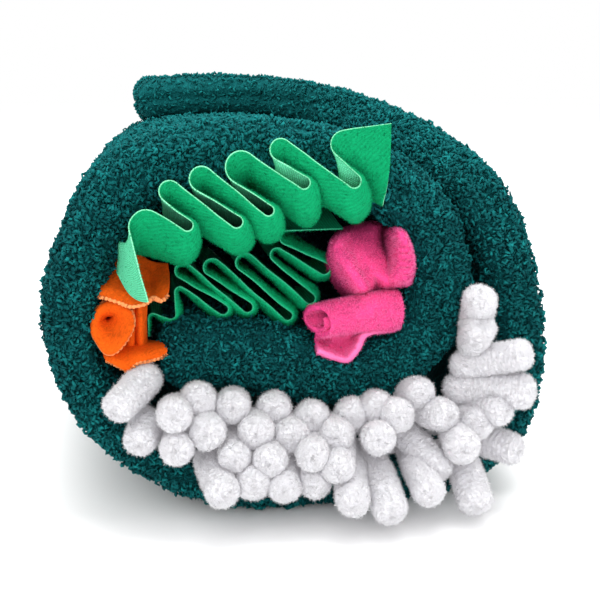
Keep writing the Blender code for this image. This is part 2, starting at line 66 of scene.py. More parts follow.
# ---- The padded mat ------------------------------------------------------
# x, z of the middle, and the thickness, from the inner end to the outer one.
MAT_MIDDLE = [
    (-41.5, 51, 20), (-29, 50.8, 20.5), (-16, 49.8, 21), (-4, 46, 21), (9, 43.2, 20), (23, 43.6, 19),
    (35.5, 48.5, 19), (43.3, 58, 20), (46.2, 69, 20), (45.6, 80, 19.5), (41, 91, 18.5), (32, 101, 18),
    (19, 108, 18), (3, 111.5, 19), (-15, 112, 19), (-32, 110.8, 19), (-46, 107, 18.5), (-55.5, 99.5, 17.5),
    (-61.5, 89.5, 16.5), (-66, 79, 16), (-68.5, 68.5, 15), (-68.7, 58, 14.5), (-66.2, 47, 14.5),
    (-60.8, 36, 15), (-52, 26, 15.5), (-40.5, 17.5, 16), (-27, 11.2, 16), (-12, 8, 16), (6, 8, 16),
    (24, 8, 16), (40, 8, 16), (54, 10.8, 16), (65, 18, 16), (71.8, 29, 16), (74.2, 42, 16), (73.8, 55, 16),
    (71.8, 67, 16), (68.4, 79, 15.5), (64, 91, 15.5), (58.2, 102.5, 15.5), (50.6, 112.8, 15.5),
    (39.5, 121.5, 16), (25.5, 127, 16), (9, 129.7, 16.6), (-8, 130.1, 17), (-26, 129.8, 17.2),
    (-46.5, 128.2, 17.4),
]
LAST_ROW = len(MAT_MIDDLE) - 1
MID_X, MID_Z, FRONT, BACK, SLIDE, LIFT, SWELL, THICK = range(8)
MAT_ROWS = np.zeros((LAST_ROW + 1, 8))
MAT_ROWS[:, [MID_X, MID_Z, THICK]] = MAT_MIDDLE
# How much further back the front and the back edge of the outer layer lie.
MAT_ROWS[39:, FRONT] = (8, 34, 72, 108, 132, 140, 141, 140)
MAT_ROWS[40:, BACK] = (4, 10, 18, 26, 32, 35, 35)
# At SQUEEZE_DEPTH: how far the inner end is pushed over and up, and how much
# nearer the middle the inner faces of the first turn lie.
MAT_ROWS[:4, SLIDE] = (-6, -5, -4, -2)
MAT_ROWS[:8, LIFT] = (13, 13, 13, 13, 12, 9, 6, 3)
MAT_ROWS[8:24, SWELL] = (3, 6, 8.5, 10, 11, 11, 8, 8, 8, 8, 9, 10, 10, 10, 8, 4)
# One rounded edge of the mat: share of the half thickness, and how far in.
EDGE_ROUND = [(0.0, 1.4), (0.15, 0.35), (0.30, 0.0), (0.46, 0.42), (0.62, 1.2),
              (0.76, 2.2), (0.88, 3.6), (0.96, 5.6), (1.0, 8.0)]
EDGE_DEPTH = 8.0            # how far in the rounded edge ends
SPAN_STEPS = 56             # steps across the flat of a face
ROW_STEPS = 6               # stations from one row to the next
MAT_MAP = (190.0, 560.0)    # the cover's map, in millimetres

# ---- Its ground and its pile ---------------------------------------------
GROUND_SINK = 0.55          # the ground lies this far under the solid's face
GROUND_LOWEST = 0.3         # height over the floor
LUMPS = ((14.0, 5.0, 0.9), (7.0, 3.0, 0.6), (3.2, 11.0, 0.5))      # size, seed, share
CEILING = (12, 18.5)        # rows between which the tunnel's ceiling swells
CEILING_SWELL = 1.7         # towards the tunnel, to close the sight line past the ribbon
CEILING_FADE = 1.5          # rows over which the swelling grows
FACE = 0.35                 # share of the half thickness past which a face begins
EDGE_FACE = 0.62            # and up to which the rounded edge goes
INNER_TURN = 8.0            # rows before this one have their outer face inside the roll
FIRST_TURN = 25.5           # rows after this one lie round the first turn
SEEN_INTO = 18.0            # how far into a gap between turns the pile is seen
SHOWN_TURN = (8.0, 26)      # rows of the first turn whose outer face shows
UNDERSIDE = (25, 31.5)      # rows that lie on the floor
FREE_END = 38               # rows after this one are the free end on top
FRONT_HALF = 100.0          # places before this depth get the pile of the front
NEAR_EDGE = 14.0            # from the mat's edge, where the pile is closer
# Curls on each square of the curl spacing, by place.
PILE_ELSEWHERE, PILE_UNDERSIDE, PILE_FIRST_TURN, PILE_FREE_END = 0.6, 0.18, 1.0, 0.9
PILE_EDGE, PILE_NEAR_FRONT, PILE_FRONT_EDGE = 0.9, 2.1, 5.4
HAIRS = 0.3                 # on a square millimetre, for each such curl
# How far a loop of yarn runs round, its lean in radii, and its steps.
CURLS = ((3.3, 0.5, 2), (4.4, 1.3, 3), (5.0, 0.8, 3), (3.6, -1.1, 2))
CURLS_A_PIECE = 9500
HAIRS_A_PIECE = 60000

# ---- Ribbons -------------------------------------------------------------
# x, z, radius, turn, then wx, wy, wz from the near edge to the far edge.
UPPER_RIBBON_Y = -13.0
UPPER_RIBBON = [
    (-46.0, 72.8, 0, 1, -8.5, 15, 6), (-46.2, 94.1, 4.4, -1, -5.2, 16, -8),
    (-45.6, 94.4, 4.6, -1, -3, 17, -13),
    (-34.4, 94.4, 1.4, 1, -1, 20, -12), (-39.0, 103.8, 3.1, -1, 0, 20, -11),
    (-20.6, 95.0, 1.6, 1, 3, 20, -8), (-30.0, 107.2, 3.5, -1, 2.5, 20, -9.5),
    (-11.4, 98.0, 1.6, 1, 3.5, 20, -8), (-19.2, 110.2, 4.5, -1, 5, 20, -10),
    (-1.4, 105.6, 1.7, 1, 4.5, 19, -13), (-7.8, 115.0, 3.1, -1, 4, 18, -12.5),
    (13.2, 105.8, 1.9, 1, 4, 16, -11), (10.2, 116.4, 3.8, -1, 5, 15, -15.5),
    (23.8, 122.0, 0, 1, 0, 8, -24.5),
]
LOWER_RIBBON_Y = 9.5
LOWER_RIBBON = [
    (-45.4, 57.0, 0, 1, 0, 24, 0), (-43.9, 62.8, 1.6, -1, 0, 25, 0),
    (-38.4, 63.8, 1.4, 1, 0, 26, 0), (-35.6, 70.8, 1.8, -1, 0, 26, 0),
    (-22.3, 64.6, 1.5, 1, 0, 26, 0), (-34.4, 77.2, 2.6, -1, 0, 26, 0),
    (-14.8, 65.0, 1.5, 1, 0, 26, 0), (-25.4, 78.0, 2.7, -1, 0, 26, 0),
    (-2.2, 61.8, 1.5, 1, 0, 26, 0), (-15.4, 79.4, 2.9, -1, 0, 26, 0),
    (5.0, 67.0, 1.5, 1, 0, 26, 0), (-5.4, 81.2, 2.3, -1, 0, 26, 0),
    (9.6, 76.4, 1.6, 1, 0, 26, 0), (-2.2, 86.5, 2.4, -1, -3, 26, 8),
    (15.4, 88.6, 0, 1, -2, 26, 9),
]
# Shares of a ribbon's width at which its rows lie, closer near the front edge.
RIBBON_SHARES = np.array([0, 0.02, 0.05, 0.1, 0.16, 0.23, 0.31, 0.4, 0.5, 0.6, 0.7, 0.8, 0.9, 1])

# ---- Felt and plush ------------------------------------------------------
# Each row of a cloth's table runs across it, near edge first.
FELT_PETALS = [
    [(-59.5, 2, 71.5), (-57, 1, 71), (-53.5, -1, 70), (-50.5, -2, 69), (-46.5, -1.5, 69.5),
     (-44, 0, 71), (-41.5, 0, 70), (-39.5, 2, 71.5)],
    [(-59, 4, 73.5), (-56.5, 3.5, 73.5), (-53.5, 2, 72.5), (-50.5, 1, 72), (-46.5, 2, 72), (-44, 5, 72),
     (-41.5, 4, 72.5), (-39, 5, 73.5)],
    [(-58, 9, 74.5), (-56, 9, 75), (-53, 8, 74.5), (-50, 8, 74.5), (-46.5, 9, 74.5), (-44, 11, 74),
     (-41, 9, 75), (-38.5, 10, 75.5)],
    [(-57, 16, 77), (-55, 17, 79), (-52, 18, 81), (-49.5, 18, 82), (-46, 18, 80), (-43.5, 18, 78.5),
     (-40.5, 17, 78), (-38.5, 16, 78)],
]
FELT_FOLD = [
    [(-58, 1, 52.5), (-55.5, -1, 51.5), (-52, -3, 50), (-49.5, -3, 52), (-46, -2.5, 52.5),
     (-42.5, -1.5, 53), (-40.5, 0, 54)],
    [(-59, 3, 54), (-56.5, 0.5, 54), (-53, -1.5, 52.5), (-50, -1, 54), (-46.5, -0.5, 54.5),
     (-43, 0.5, 55), (-40.5, 2, 55)],
    [(-59, 8, 54.5), (-56.5, 6, 55.5), (-53.5, 4, 55), (-50.5, 4.5, 55), (-47, 5, 55), (-43.5, 6, 55),
     (-41.5, 7, 55)],
    [(-58, 14, 55), (-55.5, 14, 55), (-53, 14, 55), (-50, 14, 54.5), (-47, 14, 54.5), (-44, 14, 54),
     (-42, 14, 54)],
]
FELT_PLEATS = [
    [(-53, 8, 55), (-51, 5, 55), (-49.5, 8, 55), (-48, 5, 55), (-46.5, 8, 55)],
    [(-52.5, 8, 62.5), (-50.5, 5, 63), (-49.5, 7.5, 62.5), (-48, 4.5, 63), (-46.5, 8, 62)],
    [(-52.5, 8, 70), (-50.5, 5, 70), (-49, 7, 69), (-48, 4.5, 70), (-46, 8, 70)],
]
CUP_RIM = [(-56, 4, 70), (-53, 3, 69.5), (-51, 1, 68), (-50, -1.5, 64.5), (-51.5, -3, 61), (-55, -3, 56.5),
           (-58, -2, 55.5), (-60.5, 0, 58.5), (-62, 2, 62), (-61, 4, 66), (-59, 5, 68.5)]
CUP_SLIT = (-57.6, 4.5, 64.0)
CUP_STEPS = 97
# Share of the way from the slit to the rim, and depth.
CUP_ROWS = [(1.0, 0.0), (0.96, -0.7), (0.88, -1.1), (0.76, -0.9), (0.6, -0.1), (0.44, 1.2),
            (0.3, 2.8), (0.2, 5.0)]
WRAP_ROWS = [(0.99, 1.6), (0.96, 4.0), (0.9, 8.0), (0.8, 13.0)]

PLUSH_CURL = [
    [(15, 20, 83.5), (17, 20, 85.5), (21, 21, 87), (26, 22, 87.5), (30.5, 22, 88), (33, 18, 87.5),
     (34.5, 14, 87), (35.5, 12, 85.5), (37, 16, 83)],
    [(13, 14, 81.5), (12, 4, 85.5), (18, 9, 87.5), (23, 11, 88.5), (27, 12, 88.5), (30.5, 20, 86.5),
     (30.5, 0, 88.5), (32.5, 2, 87), (36, 12, 83.5)],
    [(12, 14, 77.5), (11.5, 1, 83), (17, 4.5, 84), (22, 6, 84.5), (26, 9, 84.5), (29.5, 19, 83.5),
     (30.5, -2.5, 86), (33, -1, 84.5), (37, 10, 80.5)],
    [(12.5, 14, 74.5), (13, -0.5, 80), (17, 1.5, 81), (21.5, 3, 81), (26, 4.5, 80), (29.5, 8, 80),
     (30.5, -2.5, 83.5), (33.5, -2, 81), (37.5, 9, 77.5)],
    [(14.5, 14, 70.5), (15.5, -1.5, 76), (18.5, 0, 77), (22, 1, 77), (26, 2, 76.5), (29, 2.5, 77),
     (30.5, -3, 79.5), (33.5, -2.5, 78), (37, 8, 74.5)],
    [(17.5, 14, 66.5), (18.5, -1.5, 72), (21, 0, 73), (24, 2.5, 74), (26.5, 0.5, 73.5), (28.5, 0, 74),
     (30, -3, 75.5), (32.5, -2.5, 75), (36.5, 8, 71.5)],
    [(20, 18, 64), (21, 6, 69), (23, 6, 70), (26, 8, 70.5), (28, 6, 70.5), (30.5, 6, 71), (32, 4, 71.5),
     (34, 4, 72.5), (36.5, 10, 70.5)],
]
# The roll of plush, from left to right: x, y, z of its middle, radius, bottom of its flap.
PLUSH_ROLL = [
    (5.4, 1.0, 61.8, 4.0, 52.8), (9.2, 0.8, 62.4, 4.3, 50.9), (14.3, 0.2, 63.2, 4.5, 49.6),
    (17.2, 0.2, 63.6, 4.7, 52.4), (20.0, 0.5, 63.8, 4.9, 57.2), (24.5, 1.0, 63.9, 5.2, 58.4),
    (28.5, 1.5, 63.9, 5.4, 58.6), (31.4, 2.2, 64.0, 4.9, 59.6),
]

# ---- Noodles -------------------------------------------------------------
# The solid they replace; how far in their strip is sewn; the rows of the mat between
# which it lies; 1 where they turn level on their way out; how far their tips stand
# out; then x, z of each noodle where it leaves the roll, and x, z of its tip. The
# last group stands at the back end.
NOODLE_GROUPS = [
    ("noodles_floor_left", 3, 26.2, 28.1, 1, 23, [
        (-28.5, 20.5, -26.5, 17.6), (-16, 19, -17.8, 18.8), (-5.5, 18.5, -9, 17.2), (6, 18.5, -0.1, 16.8)]),
    ("noodles_floor_right", 3, 28.9, 30.7, 1, 27, [
        (15.5, 18.5, 10.2, 13.2), (22.4, 18.5, 22.1, 9.4), (36, 18.5, 34, 14), (51, 20, 50.2, 7.2)]),
    ("noodles_low_left", 12, 25.9, 27.8, 1, 21, [
        (-37, 29, -39.7, 30), (-21, 26.2, -22.7, 26.4), (-9, 25, -13.1, 25.2), (4, 24.5, -0.7, 27.1)]),
    ("noodles_low_right", 12, 28.5, 30.8, 1, 22, [
        (12.5, 24, 6.6, 22.4), (24.5, 25.5, 19.5, 30.6), (33, 25, 41, 16.6), (49.2, 26, 45.5, 25.7)]),
    ("noodles_high_left", 21, 25.9, 27.6, 1, 17, [
        (-38, 37, -39.9, 40.3), (-28, 33.5, -30.8, 33.9), (-14, 31.5, -16.2, 33.2),
        (-2.5, 29.5, -5.9, 30.6)]),
    ("noodles_high_right", 21, 28.2, 30.3, 1, 17, [
        (12, 28.6, 7.4, 30.6), (28, 32, 26.9, 35.8), (38, 32, 43, 34.4), (52, 29, 54.2, 30.4)]),
    ("noodles_top_left", 30, 25.9, 27.4, 1, 12, [
        (-31.5, 40, -32.5, 42.6), (-20.9, 38.2, -22.6, 40), (-8.2, 35.6, -10.1, 38.2)]),
    ("noodles_top_right", 30, 27.9, 30, 1, 12, [
        (3.4, 32.8, 1.4, 34.4), (16, 33, 13.7, 34.6), (23.7, 34.6, 21.1, 37.3), (35.4, 38, 36.1, 40.4)]),
    ("noodles_side_right", 12, 32, 34.7, 0, 15, [
        (58, 21, 67.2, 20.9), (54.4, 32.4, 61.4, 35), (49.5, 38, 70.4, 40.4), (51.5, 45.5, 69, 52.6)]),
    ("noodle_upright", 12, 35.6, 35.6, 0, 12, [
        (55.4, 52.5, 52.8, 72.2), (54.6, 51, 53.2, 62.6)]),
    ("noodles_side_left", 12, 23.2, 24.3, 0, 15, [
        (-46, 47.5, -57.2, 41.4), (-46.6, 34, -50.2, 30.8)]),
    ("noodles_back", 3, 26.6, 30.2, 1, 9, [
        (-22, 22, -24, 20), (-9.6, 22, -9, 24), (2.8, 22, 3, 19.5), (15.2, 22, 17, 24.5),
        (27.6, 22, 28, 20), (40, 22, 43, 22)]),
]
STRIP_WIDTH = 4.4
STRIP_HEIGHTS = (0.35, 1.15)        # of its faces over the mat
NOODLE_STEPS = 74           # stations along a noodle, up to its domed tip
NOODLE_SIDES = 23           # places around it, the first one again as the last
DOME_STEPS = 11             # stations over the tip
PILE_ON_NOODLES = 3.2       # fibres on a square millimetre
PILE_ON_RIBBONS = 2.7
PILE_ON_PLUSH = 5.0

# ---- Stage ---------------------------------------------------------------
# name, place, size and power of each soft light
LIGHTS = [("key", (-0.35, -1.0, 0.9), 0.9, 4.5), ("front", (-0.15, -1.2, 0.3), 0.9, 3.5),
          ("top", (0.1, 0.1, 1.3), 1.0, 17.0), ("fill", (0.9, -0.7, 0.4), 0.8, 1.5)]
LIT_PLACE = (0, 0, 0.06)
CAMERA_PLACE = (-56.88, -387.15, 133.73)        # millimetres from the solids' origin
CAMERA_AIM = (-3.0, -99.26, 68.8)
CAMERA_LENS = 59.4
FLOOR_HALF = 6.0


# ---- Sizes and colours a user would change -------------------------------


def length_property(name, description, default):
    """A length in metres, shown in the scene's own unit."""
    return bpy.props.FloatProperty(name=name, description=description, default=default, unit="LENGTH")


class SnuffleSizes(bpy.types.PropertyGroup):
    """Sizes of the pile and of the sewn-on pieces."""

    curl_radius: length_property("Curl radius", "Radius of one loop of the boucle yarn", 0.00066)
    yarn_radius: length_property("Yarn radius", "Half the thickness of the boucle yarn", 0.00037)
    curl_spacing: length_property("Curl spacing", "Distance between neighbouring curls", 0.0019)
    lump_height: length_property("Lump height", "Height of the soft lumps of the padded mat", 0.0007)
    noodle_radius: length_property("Noodle radius", "Half the thickness of a chenille noodle", 0.005)
    ring_pitch: length_property("Ring pitch", "Distance between the rings of a noodle's pile", 0.0018)
    ribbon_thickness: length_property("Ribbon thickness", "Thickness of the ruffled ribbons", 0.0004)
    felt_thickness: length_property("Felt thickness", "Thickness of the felt leaves", 0.0015)
    plush_thickness: length_property("Plush thickness", "Thickness of the plush with its pile", 0.0026)


def colour_property(name, description, default):
    """A colour that shows as a swatch in the sidebar."""
    return bpy.props.FloatVectorProperty(name=name, description=description, default=default, subtype="COLOR",
                                         size=3, min=0.0, max=1.0)


class SnuffleColours(bpy.types.PropertyGroup):
    """Colours of the cloths and yarns."""

    boucle: colour_property("Boucle", "Teal yarn of the padded mat", (0.003, 0.082, 0.086))
    boucle_light: colour_property("Boucle highlights", "Teal of the tips of the curls", (0.008, 0.2, 0.2))
    # Painted shade: this darker teal stands in for the shade in the crevices between the curls, at their
    # bases and between the clumps.
    boucle_painted_shade: colour_property("Boucle crevices", "Teal between the curls", (0.0015, 0.048, 0.053))
    velvet: colour_property("Upper velvet", "Pile side of the upper ribbon", (0.002, 0.33, 0.125))
    velvet_back: colour_property("Upper ribbon back", "Woven side of the upper ribbon", (0.14, 0.8, 0.44))
    selvedge: colour_property("Upper selvedge", "Edge line of the upper ribbon", (0.22, 0.78, 0.45))
    lower_velvet: colour_property("Lower velvet", "Pile side of the lower ribbon", (0.003, 0.42, 0.17))
    lower_back: colour_property("Lower ribbon back", "Woven side of the lower ribbon", (0.008, 0.46, 0.21))
    lower_selvedge: colour_property("Lower selvedge", "Edge line of the lower ribbon", (0.04, 0.46, 0.24))
    felt: colour_property("Felt", "Orange felt", (0.8, 0.105, 0.005))
    felt_light: colour_property("Felt edge", "Pale cut edge of the felt", (0.95, 0.36, 0.13))
    plush: colour_property("Plush", "Pink plush", (0.85, 0.065, 0.26))
    # Painted highlight on the tips of the pink pile; the plush's pale edge is mixed with it too.
    plush_light: colour_property("Plush tips", "Tips of the pink pile", (0.95, 0.2, 0.46))
    chenille: colour_property("Chenille", "White chenille of the noodles", (0.9, 0.885, 0.92))
    floor: colour_property("Floor", "Plain floor under the mat", (1.0, 1.0, 1.0))


# ---- Materials -----------------------------------------------------------


class Socket:
    """An output of a node; arithmetic with it adds the nodes that work it out."""

    def __init__(self, finish, out):
        self.finish = finish
        self.out = out

    def join(self, operation, one, two):
        wide = any(isinstance(part, Socket) and part.out.type in {"VECTOR", "RGBA"} for part in (one, two))
        kind = "ShaderNodeVectorMath" if wide else "ShaderNodeMath"
        return self.finish.node(kind, {"operation": operation}, one, two)

    def __add__(self, other):
        return self.join("ADD", self, other)

    def __radd__(self, other):
        return self.join("ADD", other, self)

    def __mul__(self, other):
        return self.join("MULTIPLY", self, other)

    def __rmul__(self, other):
        return self.join("MULTIPLY", other, self)


class Finish:
    """One material and the nodes in it."""

    def __init__(self, name, **constants):
        self.material = bpy.data.materials.new(name)
        self.material.use_nodes = True
        self.tree = self.material.node_tree
        self.shader = self.tree.nodes["Principled BSDF"]
        for socket, value in constants.items():
            self.shader.inputs[socket.replace("_", " ")].default_value = value

    def node(self, kind, settings, *ordered, **named):
        """Add a node: its type, its settings, then its sockets in order or by name."""
        made = self.tree.nodes.new(kind)
        for key, value in settings.items():
            setattr(made, key, value)
        sockets = [socket for socket in made.inputs if socket.enabled]
        pairs = list(zip(sockets, ordered))
        pairs += [(made.inputs[key.replace("_", " ")], value) for key, value in named.items()]
        for socket, value in pairs:
            self.feed(socket, value)
        return Socket(self, next(out for out in made.outputs if out.enabled))

    def feed(self, socket, value):
        """Link a socket to a value's node, or write the plain value on it."""
        if isinstance(value, Socket):
            self.tree.links.new(value.out, socket)
        elif socket.type == "VECTOR" and not hasattr(value, "__len__"):
            socket.default_value = (value, value, value)
        elif socket.type == "RGBA":
            socket.default_value = (*value[:3], 1.0)
        else:
            socket.default_value = value

    def other(self, kind, settings, output, *ordered):
        """A node of which another output than the first is wanted."""
        first = self.node(kind, settings, *ordered)
        return Socket(self, first.out.node.outputs[output])

    def place(self):
        return self.other("ShaderNodeTexCoord", {}, "Object")

    def part(self, vector, axis):
        return self.other("ShaderNodeSeparateXYZ", {}, axis, vector)

    def along(self):
        """How far along its cloth a point lies, in millimetres."""
        return self.part(self.other("ShaderNodeTexCoord", {}, "UV"), "X")

    def over(self):
        """How far from its cloth's near edge a point lies, in millimetres."""
        return self.part(self.other("ShaderNodeTexCoord", {}, "UV"), "Y")

    def attribute(self, name):
        return self.other("ShaderNodeAttribute", {"attribute_name": name}, "Fac")

    def noise(self, scale, detail=2.0, roughness=0.5, vector=None):
        return self.node("ShaderNodeTexNoise", {}, Vector=vector or self.place(), Scale=scale, Detail=detail,
                         Roughness=roughness)

    def warped(self, scale, distance):
        """Places pushed about by a noise, so that a pattern on them is less even."""
        return self.place() + self.noise(scale) * distance

    def cells(self, vector, scale):
        return self.node("ShaderNodeTexVoronoi", {}, Vector=vector, Scale=scale)

    def wave(self, value):
        """A sine of a value, between 0 and 1."""
        return self.node("ShaderNodeMath", {"operation": "SINE"}, value) * 0.5 + 0.5

    def clamp(self, value, low, high):
        """A value's share of the way from low to high, kept within 0 and 1."""
        return self.node("ShaderNodeMapRange", {"interpolation_type": "SMOOTHSTEP"}, Value=value,
                         From_Min=low, From_Max=high)

    def mix(self, one, two, share):
        made = self.tree.nodes.new("ShaderNodeMix")
        made.data_type = "RGBA"
        for index, value in ((0, share), (6, one), (7, two)):
            self.feed(made.inputs[index], value)
        return Socket(self, made.outputs[2])

    def finish(self, colour, roughness, height=None, strength=0.5, distance=0.0005):
        """Feed the shader its colour, its roughness and a bump of that height."""
        self.feed(self.shader.inputs["Base Color"], colour)
        self.feed(self.shader.inputs["Roughness"], roughness)
        if height is not None:
            bump = self.node("ShaderNodeBump", {}, Strength=strength, Distance=distance, Height=height)
            self.feed(self.shader.inputs["Normal"], bump)
        return self.material


def toned(colour, share):
    """A colour made darker or lighter."""
    return tuple(part * share for part in colour)


def boucle_shades(f):
    """What the mat's two materials share: its clumps, with painted shade between them, and how high a place
    lies, for painted light on the top of the roll.
    """
    clumps = f.clamp(f.noise(240.0, 3.0, 0.6), 0.38, 0.64)
    high = f.clamp(f.part(f.place(), "Z"), 0.088, 0.128)
    return clumps, high


def boucle_ground(colours):
    """The knitted ground under the curls: painted dark as the shade under them, with lighter knots and
    strokes, and painted lighter on the top of the roll.
    """
    f = Finish("boucle_ground", Specular_IOR_Level=0.08)
    clumps, high = boucle_shades(f)
    shade = f.clamp(f.cells(f.warped(300.0, 0.002), 620.0), 0.75, 0.1)
    strokes = f.noise(1100.0, 2.0, 0.6, f.warped(500.0, 0.003))
    # Painted shade: darker towards the crevice teal at the edges of the knots and between the clumps.
    colour = f.mix(colours.boucle_painted_shade, colours.boucle, shade * (0.4 + clumps * 0.6))
    # The strokes are the yarn's own flecks; that they are lighter on the clumps is painted light.
    colour = f.mix(colour, colours.boucle_light, f.clamp(strokes, 0.5, 0.62) * (0.15 + clumps * 0.45))
    # Painted light from above: higher places are mixed towards the highlight teal.
    colour = f.mix(colour, colours.boucle_light, high * 0.3)
    return f.finish(colour, 0.95, shade * 0.5 + strokes, 1.0, 0.0009)


def boucle_yarn(colours):
    """The curls: painted shade at their bases and painted highlights towards their tips, on the clumps and on
    the top of the roll, each a little different.
    """
    f = Finish("boucle_yarn", Specular_IOR_Level=0.08)
    clumps, high = boucle_shades(f)
    tip = f.attribute("tip")
    light = f.clamp(tip * 0.6 + f.attribute("tone") * 0.6 + f.noise(55.0) * 0.5, 0.75, 1.45)
    fibres = f.noise(3000.0, 2.0, 0.7)
    # Painted shade: each curl darkens towards its base.
    body = f.mix(colours.boucle_painted_shade, colours.boucle, f.clamp(tip, -0.15, 0.65))
    # Painted highlights towards the tips, more on the clumps; the tone part differs at random.
    colour = f.mix(body, colours.boucle_light, light * (0.15 + clumps * 0.85))
    # Painted shade between the clumps.
    colour = f.mix(colours.boucle_painted_shade, colour, 0.5 + clumps * 0.5)
    # Painted light from above on the top of the roll.
    colour = f.mix(colour, colours.boucle_light, high * 0.4)
    return f.finish(colour, 0.85 + fibres * 0.1, fibres, 0.6, 0.0002)


def ribbon_face(name, colour, light):
    """The pile side of a ribbon: slanting ribs and a fuzzy sheen."""
    f = Finish(name, Specular_IOR_Level=0.08)
    over = f.over()
    wobble = f.noise(260.0, 3.0, 0.6)
    grain = f.noise(2400.0, 2.0, 0.7)
    rib = f.wave((f.along() * 0.75 + over * 1.0 + wobble * 2.6) * 4.6)
    cloth = f.mix(toned(colour, 0.45), colour, f.clamp(rib * 0.2 + grain * 0.8 + wobble * 0.5, 0.15, 1.05))
    cloth = f.mix(cloth, light, f.clamp(over, 0.6, 0.15) * 0.85)
    return f.finish(cloth, 0.7 + grain * 0.2, rib * 0.3 + grain * 0.8, 0.7, 0.0004)


def ribbon_back(name, colour, light):
    """The woven side of a ribbon: a fine open mesh, in shadow between its loops."""
    f = Finish(name, Specular_IOR_Level=0.08)
    along, over = f.along(), f.over()
    grain = f.noise(1500.0, 2.0, 0.6)
    weave = f.clamp(f.wave(along * 9.0) * f.wave(over * 9.0) * 0.8 + grain * 0.5, 0.15, 0.85)
    cloth = f.mix(toned(colour, 0.5), colour, weave)
    valley = f.clamp(over, 0.3, 5.0) * f.clamp(along, 26.0, 32.0) * f.clamp(along, 165.0, 150.0)
    cloth = f.mix(cloth, toned(colour, 0.12), valley * 0.9)
    cloth = f.mix(cloth, light, f.clamp(over, 0.6, 0.15) * 0.85)
    return f.finish(cloth, 0.6 + grain * 0.2, weave, 0.6, 0.0003)


def ribbon_edge(name, light):
    """The pale twisted thread along a ribbon's edge."""
    f = Finish(name, Specular_IOR_Level=0.1)
    twist = f.wave(f.along() * 8.0)
    grain = f.noise(2500.0, 1.0, 0.6)
    colour = f.mix(toned(light, 0.6), light, f.clamp(twist + grain, 0.3, 1.1))
    return f.finish(colour, 0.6 + grain * 0.2, twist, 0.5, 0.0003)


def felt_cloth(colours):
    """Pressed orange felt with short fibres and a pale cut edge."""
    f = Finish("felt_cloth", Specular_IOR_Level=0.08)
    fibres = f.noise(1300.0, 3.0, 0.7, f.warped(500.0, 0.003))
    mottle = f.noise(160.0)
    cloth = f.mix(toned(colours.felt, 0.55), colours.felt, f.clamp(fibres * 0.8 + mottle * 0.5, 0.35, 0.8))
    edge = f.clamp(f.over() + fibres * 0.6, 1.5, 0.5)
    return f.finish(f.mix(cloth, colours.felt_light, edge * 0.8), 0.9, fibres, 0.7, 0.0005)


def plush_cloth(colours):
    """Pink plush: soft pile, paler along its edge, with painted shade darker deep in the roll."""
    f = Finish("plush_cloth", Specular_IOR_Level=0.08)
    pile = f.noise(900.0, 3.0, 0.7)
    mottle = f.noise(190.0)
    # Painted shade: the plush darkens towards the back, deep in the roll and under it.
    near = f.clamp(f.part(f.place(), "Y"), -0.089, -0.0985)
    cloth = f.mix(toned(colours.plush, 0.5), colours.plush, f.clamp(pile * 0.7 + mottle * 0.6, 0.35, 0.8))
    cloth = f.mix(toned(colours.plush, 0.45), cloth, near)
    edge = f.clamp(f.over() + pile * 1.2, 2.4, 0.8)
    return f.finish(f.mix(cloth, colours.plush_light, edge * 0.8), 0.9, pile, 0.8, 0.0008)


def cut_pile(name, colour, light):
    """Single fibres of a pile, paler at their tips: painted highlights there, and painted shade towards their
    roots.
    """
    f = Finish(name, Specular_IOR_Level=0.08)
    tone = f.attribute("tone")
    body = f.mix(toned(colour, 0.4), colour, f.clamp(tone, 0.0, 0.4))
    # Painted light and shade: each fibre goes from shaded at its root to highlighted at its tip.
    return f.finish(f.mix(body, light, f.clamp(f.attribute("tip") * 0.7 + tone * 0.5, 0.35, 1.15)), 0.85)


def chenille_yarn(colours):
    """White chenille: rings of cut pile, with painted shade a little greyer between them and at the roots of
    the fibres, and a faint painted glow.
    """
    # Painted light: a faint white glow lifts the shade between the rings.
    f = Finish("chenille_yarn", Specular_IOR_Level=0.08, Subsurface_Weight=0.6, Subsurface_Scale=0.006,
               Subsurface_Radius=(1.0, 0.95, 0.9), Emission_Color=(1.0, 0.97, 1.0, 1.0),
               Emission_Strength=0.05)
    grain = f.noise(1400.0, 3.0, 0.7)
    # Painted shade: greyer where the tip value is low, at the fibres' roots and on the body under them.
    shade = f.clamp(f.attribute("tip") * 0.7 + grain * 0.6, 0.25, 0.9)
    return f.finish(f.mix(toned(colours.chenille, 0.9), colours.chenille, shade), 0.92, grain, 0.8, 0.0006)


# ---- Shapes --------------------------------------------------------------


def to_metres(places):
    """Places of the tables, in millimetres, as places of the scene in metres."""
    return (np.asarray(places, float) - MIDDLE) * MM


def laid_grid(places, sizes=(1.0, 1.0)):
    """A bmesh grid laid over rows and columns of places; its map is in millimetres."""
    rows, columns = places.shape[:2]
    bm = bmesh.new()
    layer = bm.loops.layers.uv.new("UVMap")
    bmesh.ops.create_grid(bm, x_segments=columns - 1, y_segments=rows - 1, size=1.0, calc_uvs=True)
    for vert, place in zip(bm.verts, to_metres(places).reshape(-1, 3)):
        vert.co = place
    for face in bm.faces:
        for corner in face.loops:
            corner[layer].uv = (corner[layer].uv[0] * sizes[0], corner[layer].uv[1] * sizes[1])
    return bm


def close_up(bm, fill=True):
    """Merge a laid grid's doubled places, fill its ends and turn its faces outwards."""
    bmesh.ops.remove_doubles(bm, verts=bm.verts, dist=MERGE)
    if fill:
        bmesh.ops.holes_fill(bm, edges=bm.edges, sides=0)
    bmesh.ops.recalc_face_normals(bm, faces=bm.faces)


def to_mesh(name, bm):
    """A mesh of that name with a bmesh's shape, which is then let go."""
    mesh = bpy.data.meshes.new(name)
    bm.to_mesh(mesh)
    bm.free()
    return mesh


